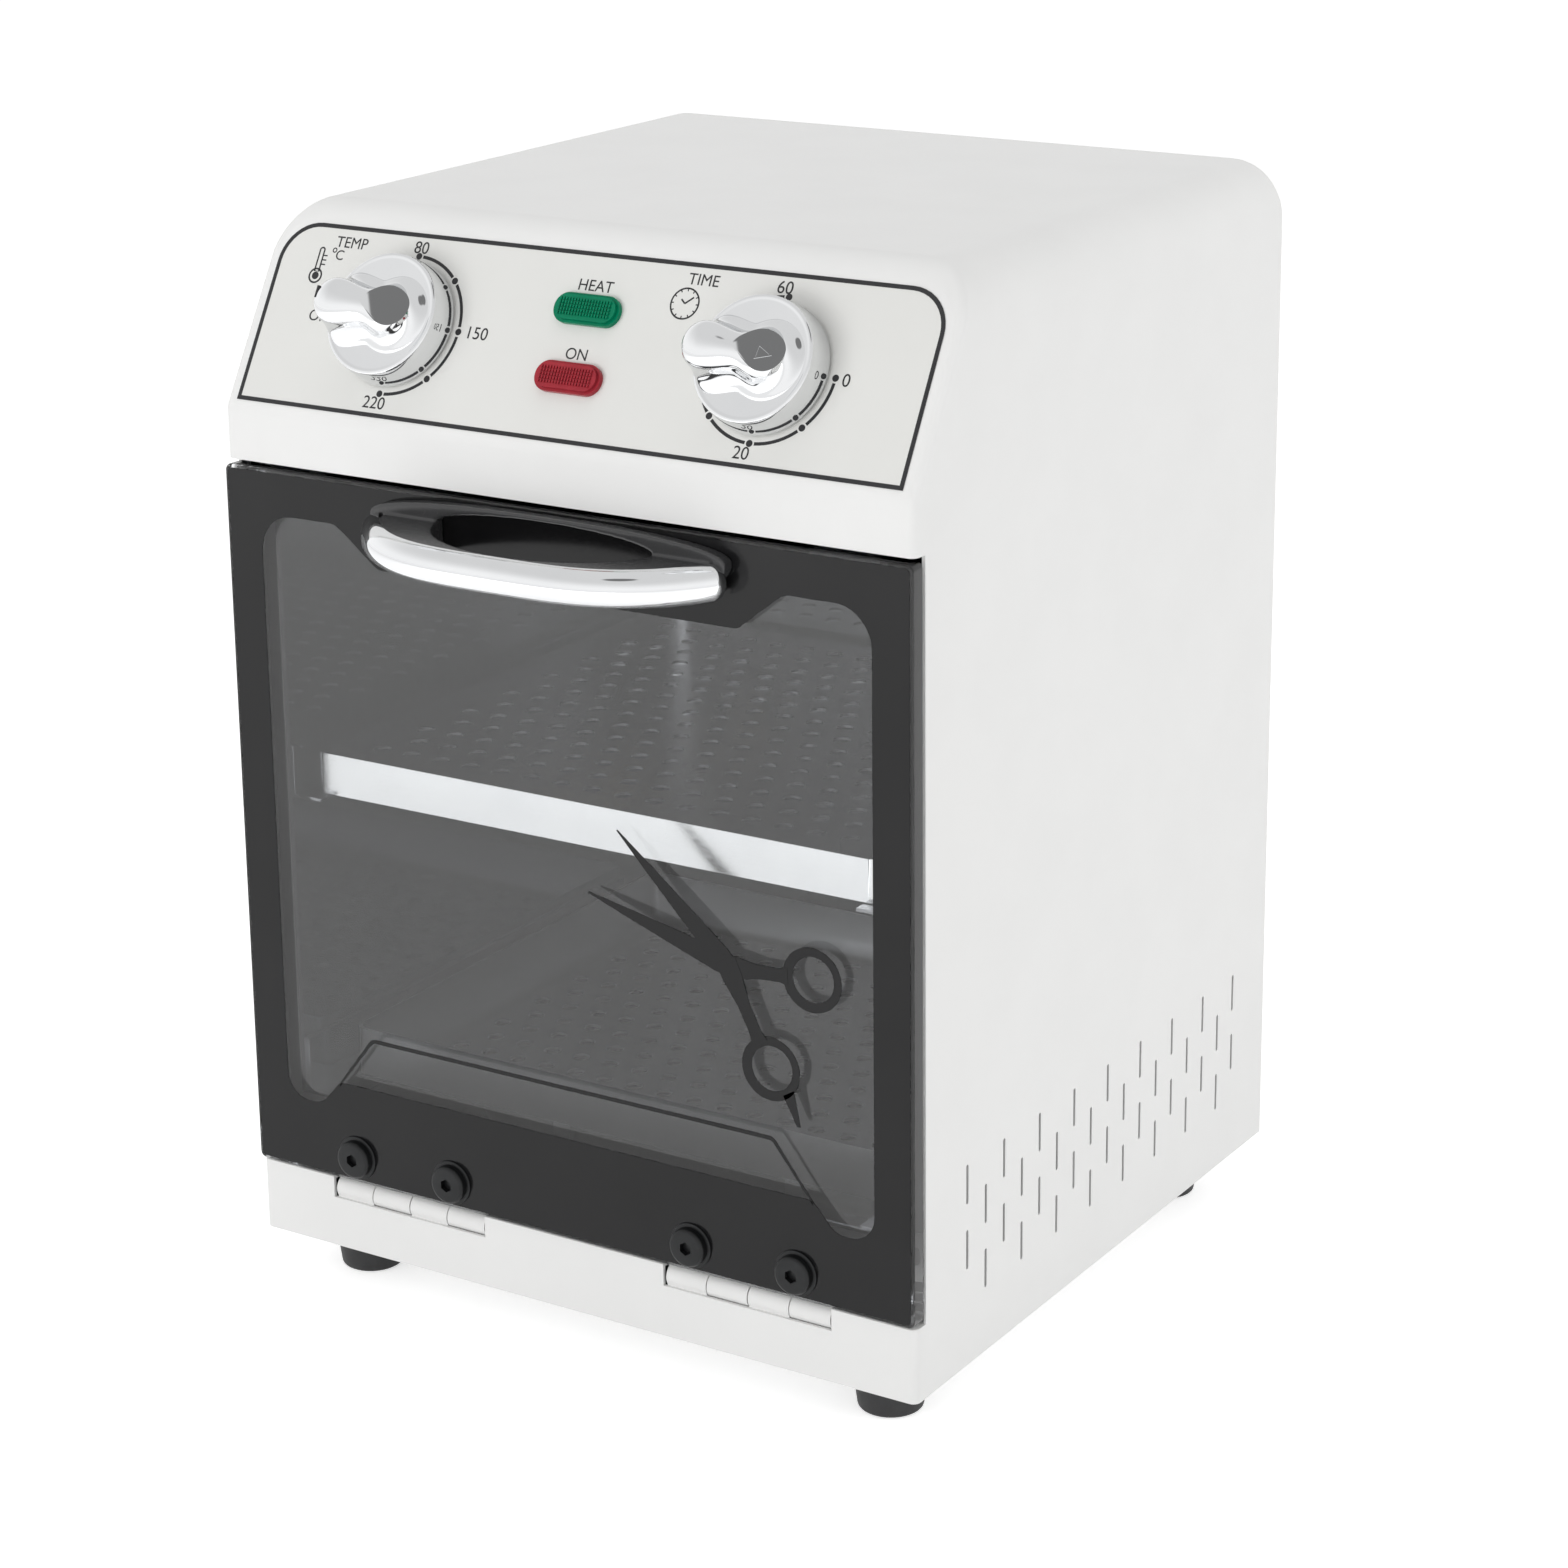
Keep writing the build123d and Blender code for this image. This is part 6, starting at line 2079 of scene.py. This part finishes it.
# ---------------------------------------------------------------- pieces refined from the construction
def refined(node: str, name: str, edge: float) -> Piece:
    """Welded copy of a construction node with its edges broken and its round faces smooth.

    Args:
        node: the construction node.
        name: the new piece's name.
        edge: radius on its sharp edges in millimetres, or 0.

    Returns:
        The new mesh object.
    """
    data = frame["nodes"][node].data.copy()
    data.name = name
    piece = weld(linked(name, data), NODE_WELD)
    if edge > 0:
        use_modifier(piece, "DECIMATE", decimate_type="DISSOLVE", angle_limit=math.radians(0.6))
        round_sharp(piece, edge, 2, 50)
    return flatten_shading(smooth(piece, 32))


@dataclass
class Fittings:
    """Chamber, trays, hinges, fixings and rear fittings, each refined from its construction node."""

    table: dict[str, tuple[str, float]] = field(default_factory=lambda: {
        "chamber_liner": ("heating_chamber", 0.0),
        "front_frame": ("chamber_front_frame", 0.0),
        "upper_tray": ("perforated_tray_upper", 0.0),
        "lower_tray": ("perforated_tray_lower", 0.0),
        "upper_tray_rails": ("tray_rails_upper", 0.15),
        "lower_tray_rails": ("tray_rails_lower", 0.15),
        "upper_heater": ("heating_element_upper", 0.0),
        "lower_heater": ("heating_element_lower", 0.0),
        "heater_clips": ("element_clips", 0.2),
        "heater_bushings": ("element_bushings", 0.3),
        "door_gasket": ("door_seal", 0.0),
        "door_magnets": ("door_magnet_blocks", 0.3),
        "strike_plates": ("magnet_strikes", 0.1),
        "hinge_leaves_door": ("hinge_leaves_on_door", 0.25),
        "hinge_leaves_fixed": ("hinge_leaves_on_sill", 0.25),
        "hinge_pins": ("hinge_pin_rods", 0.1),
        "door_nuts": ("door_bolt_nuts", 0.2),
        "handle_screws": ("handle_fixing_screws", 0.2),
        "rear_panel": ("vented_rear_panel", 0.25),
        "rear_screws": ("rear_panel_screws", 0.25),
        "power_inlet": ("appliance_inlet", 0.35),
        "inlet_pins": ("inlet_contact_pins", 0.2),
        "inlet_screws": ("inlet_fixing_screws", 0.2),
        "foot_screws": ("foot_fixing_screws", 0.2),
        "foot_nuts": ("foot_fixing_nuts", 0.2),
    })
    bodies: dict[str, Body] = field(default_factory=lambda: {
        "upper_tray": Body.UPPER_TRAY,
        "lower_tray": Body.LOWER_TRAY,
        "strike_plates": Body.DOOR,
        "hinge_leaves_door": Body.DOOR,
        "door_nuts": Body.DOOR,
        "handle_screws": Body.DOOR,
    })
    # The lower tray's darker steel is painted shade deep in the chamber.
    trays: dict[str, Finish] = field(
        default_factory=lambda: {"upper_tray": ROLLED_STEEL, "lower_tray": SHADED_SATIN_STEEL}
    )
    tray_margin: float = 3.5
    wall_lean: float = 0.3

    def build(self, slots: dict[str, str]) -> None:
        """Refine and dress every fitting in the table.

        Args:
            slots: material slot of each construction node.
        """
        for node, (name, edge) in self.table.items():
            body = self.bodies.get(node, Body.CABINET)
            piece = fit(refined(node, name, edge), body, slots[node], self.trays.get(node), replaces=[node])
            if node in self.trays:
                self.dull_and_shade_hole_walls(piece)

    def dull_and_shade_hole_walls(self, tray: Piece) -> None:
        """Give the walls of a tray's holes the duller finish that punching leaves, darkened further as painted
        shade inside the holes.

        Args:
            tray: the perforated tray.
        """
        places = [vertex.co / MM for vertex in tray.data.vertices]
        low_x, high_x = min(place.x for place in places), max(place.x for place in places)
        low_y, high_y = min(place.y for place in places), max(place.y for place in places)
        edge = self.tray_margin
        tray.data.materials.append(PALETTE.get(PUNCHED_EDGE_AND_SHADE))
        with editing(tray, "FACE"):
            pick_faces(
                tray,
                lambda middle, normal: abs(normal.z) < self.wall_lean
                and low_x + edge < middle.x < high_x - edge
                and low_y + edge < middle.y < high_y - edge,
            )
            tray.active_material_index = 1
            bpy.ops.object.material_slot_assign()


# ---------------------------------------------------------------- studio
@dataclass(frozen=True)
class Softbox:
    """Soft rectangular lamp, aimed at a height over the origin, in millimetres and watts."""

    name: str
    place: tuple[float, float, float]
    target: float
    width: float
    height: float
    power: float

    def build(self) -> None:
        """Hang the lamp. It lights the object and leaves no mirror image of itself."""
        data = bpy.data.lights.new(self.name, "AREA")
        data.shape = "RECTANGLE"
        data.size, data.size_y = self.width * MM, self.height * MM
        data.energy = self.power
        lamp = linked(self.name, data)
        place = Vector(self.place)
        turn = (UP * self.target - place).to_track_quat("-Z", "Y").to_matrix().to_4x4()
        lamp.matrix_world = Matrix.Translation(place * MM) @ turn
        lamp.visible_glossy = False


@dataclass
class Studio:
    """White sweep, soft lamps and the camera."""

    camera_place: tuple[float, float, float] = (574.8, -903.1, 493.7)
    yaw: float = 32.24
    pitch: float = -16.0
    roll: float = -0.64
    lens: float = 88.74
    shift_y: float = -0.1
    sensor: float = 36.0
    clip: tuple[float, float] = (0.05, 20)
    ambient: float = 0.5
    gloss_from: float = 0.2
    gloss_to: float = 0.8
    gloss_level: float = 1.15
    gloss_overhead: float = 0.82
    dark_way: tuple[float, float, float] = (0.10, -0.376, 0.921)
    dark_from: float = 0.986
    dark_to: float = 0.993
    dark_level: float = 0.27
    floor_size: float = 40
    floor_drop: float = 0.2
    floor_colour: str = "#F2F2F2"
    floor_glow: float = 0.6
    lamps: tuple[Softbox, ...] = (
        Softbox("key_softbox", (-700, -1300, 900), 150, 900, 900, 4.2),
        Softbox("front_softbox", (-150, -1500, 260), 150, 1400, 500, 7.5),
        Softbox("side_softbox", (1400, 200, 500), 150, 900, 900, 6.8),
        Softbox("top_softbox", (0, 100, 1500), 100, 1000, 1000, 3.5),
    )

    def build(self) -> None:
        """Set up world, floor, lamps, camera and the plain view transform."""
        self.world()
        self.floor()
        for lamp in self.lamps:
            lamp.build()
        self.camera()
        bpy.context.scene.view_settings.view_transform = "Standard"

    def world(self) -> None:
        """White surroundings: dim as light on matt surfaces; for gloss, greyer overhead, with a dark patch."""
        world = bpy.data.worlds.new("studio_world")
        bpy.context.scene.world = world
        tree = empty_tree(world)
        path = add_node(tree, "LightPath").outputs
        way = add_node(tree, "TexCoord").outputs["Generated"]
        height = add_node(tree, "SeparateXYZ", {0: way}).outputs["Z"]
        gentle = {"interpolation_type": "SMOOTHSTEP"}
        rise = {"Value": height, "From Min": self.gloss_from, "From Max": self.gloss_to}
        ends = {"To Min": self.gloss_level, "To Max": self.gloss_overhead}
        gloss = add_node(tree, "MapRange", rise | ends, **gentle).outputs["Result"]
        pair = {0: way, 1: self.dark_way}
        near = add_node(tree, "VectorMath", pair, operation="DOT_PRODUCT").outputs["Value"]
        rise = {"Value": near, "From Min": self.dark_from, "From Max": self.dark_to}
        ends = {"To Min": 1.0, "To Max": self.dark_level}
        patch = add_node(tree, "MapRange", rise | ends, **gentle).outputs["Result"]
        gloss = add_node(tree, "Math", {0: gloss, 1: patch}, operation="MULTIPLY").outputs[0]
        seen = {0: path["Is Camera Ray"], 1: path["Is Transmission Ray"]}
        clear = add_node(tree, "Math", seen, operation="MAXIMUM").outputs[0]
        level = add_node(tree, "MapRange", {"Value": clear, "To Min": self.ambient, "To Max": 1.0})
        pair = {"Factor": path["Is Glossy Ray"], "A": level.outputs["Result"], "B": gloss}
        both = add_node(tree, "Mix", pair, data_type="FLOAT").outputs["Result"]
        back = add_node(tree, "Background", {"Color": (1, 1, 1, 1), "Strength": both})
        add_node(tree, "OutputWorld", {"Surface": back.outputs["Background"]})

    def floor(self) -> None:
        """Pale floor that keeps a faint shadow and is white elsewhere."""
        deselect()
        bpy.ops.mesh.primitive_plane_add(size=self.floor_size, location=(0, 0, -self.floor_drop * MM))
        floor = settle(named_active("studio_floor"))
        material = bpy.data.materials.new("white_sweep")
        tree = empty_tree(material)
        path = add_node(tree, "LightPath").outputs
        matt = add_node(tree, "BsdfDiffuse", {"Color": linear(self.floor_colour)}).outputs[0]
        glow = add_node(tree, "Emission", {"Color": (1, 1, 1, 1), "Strength": self.floor_glow}).outputs[0]
        both = add_node(tree, "AddShader", {0: matt, 1: glow}).outputs[0]
        rays = {0: path["Is Camera Ray"], 1: path["Is Glossy Ray"]}
        seen = add_node(tree, "Math", rays, operation="MAXIMUM").outputs[0]
        mix = add_node(tree, "MixShader", {0: seen, 1: matt, 2: both})
        add_node(tree, "OutputMaterial", {"Surface": mix.outputs[0]})
        floor.data.materials.append(material)

    def camera(self) -> None:
        """Camera at its measured place and turn, its place counted from the middle of the cabinet's foot."""
        yaw, pitch, roll = (math.radians(angle) for angle in (self.yaw, self.pitch, self.roll))
        ahead = Vector((-math.sin(yaw) * math.cos(pitch), math.cos(yaw) * math.cos(pitch), math.sin(pitch)))
        level = Vector((math.cos(yaw), math.sin(yaw), 0))
        above = level.cross(ahead)
        right = math.cos(roll) * level + math.sin(roll) * above
        up = -math.sin(roll) * level + math.cos(roll) * above
        data = bpy.data.cameras.new("studio_camera")
        data.sensor_width = self.sensor
        data.lens = self.lens
        data.shift_y = self.shift_y
        data.clip_start, data.clip_end = self.clip
        camera = linked("studio_camera", data)
        middle = BACK * (SHELL_LOW.y + SHELL_HIGH.y) / 2
        place = (Vector(self.camera_place) + middle) * MM
        camera.matrix_world = flat_to_row(place, right, up, -ahead)
        bpy.context.scene.camera = camera


def main() -> None:
    """Build the sterilizer's looks and the studio round it."""
    logging.basicConfig(level=logging.INFO, format="%(name)s: %(message)s")
    slots = {row["node"]: row["material_slot"] for row in frame["record"]["subparts"]}
    Cabinet().build()
    ControlPanel().build()
    Door().build()
    Fittings().build(slots)
    PALETTE.dress_construction(slots)
    Studio().build()


if __name__ == "__main__":
    main()
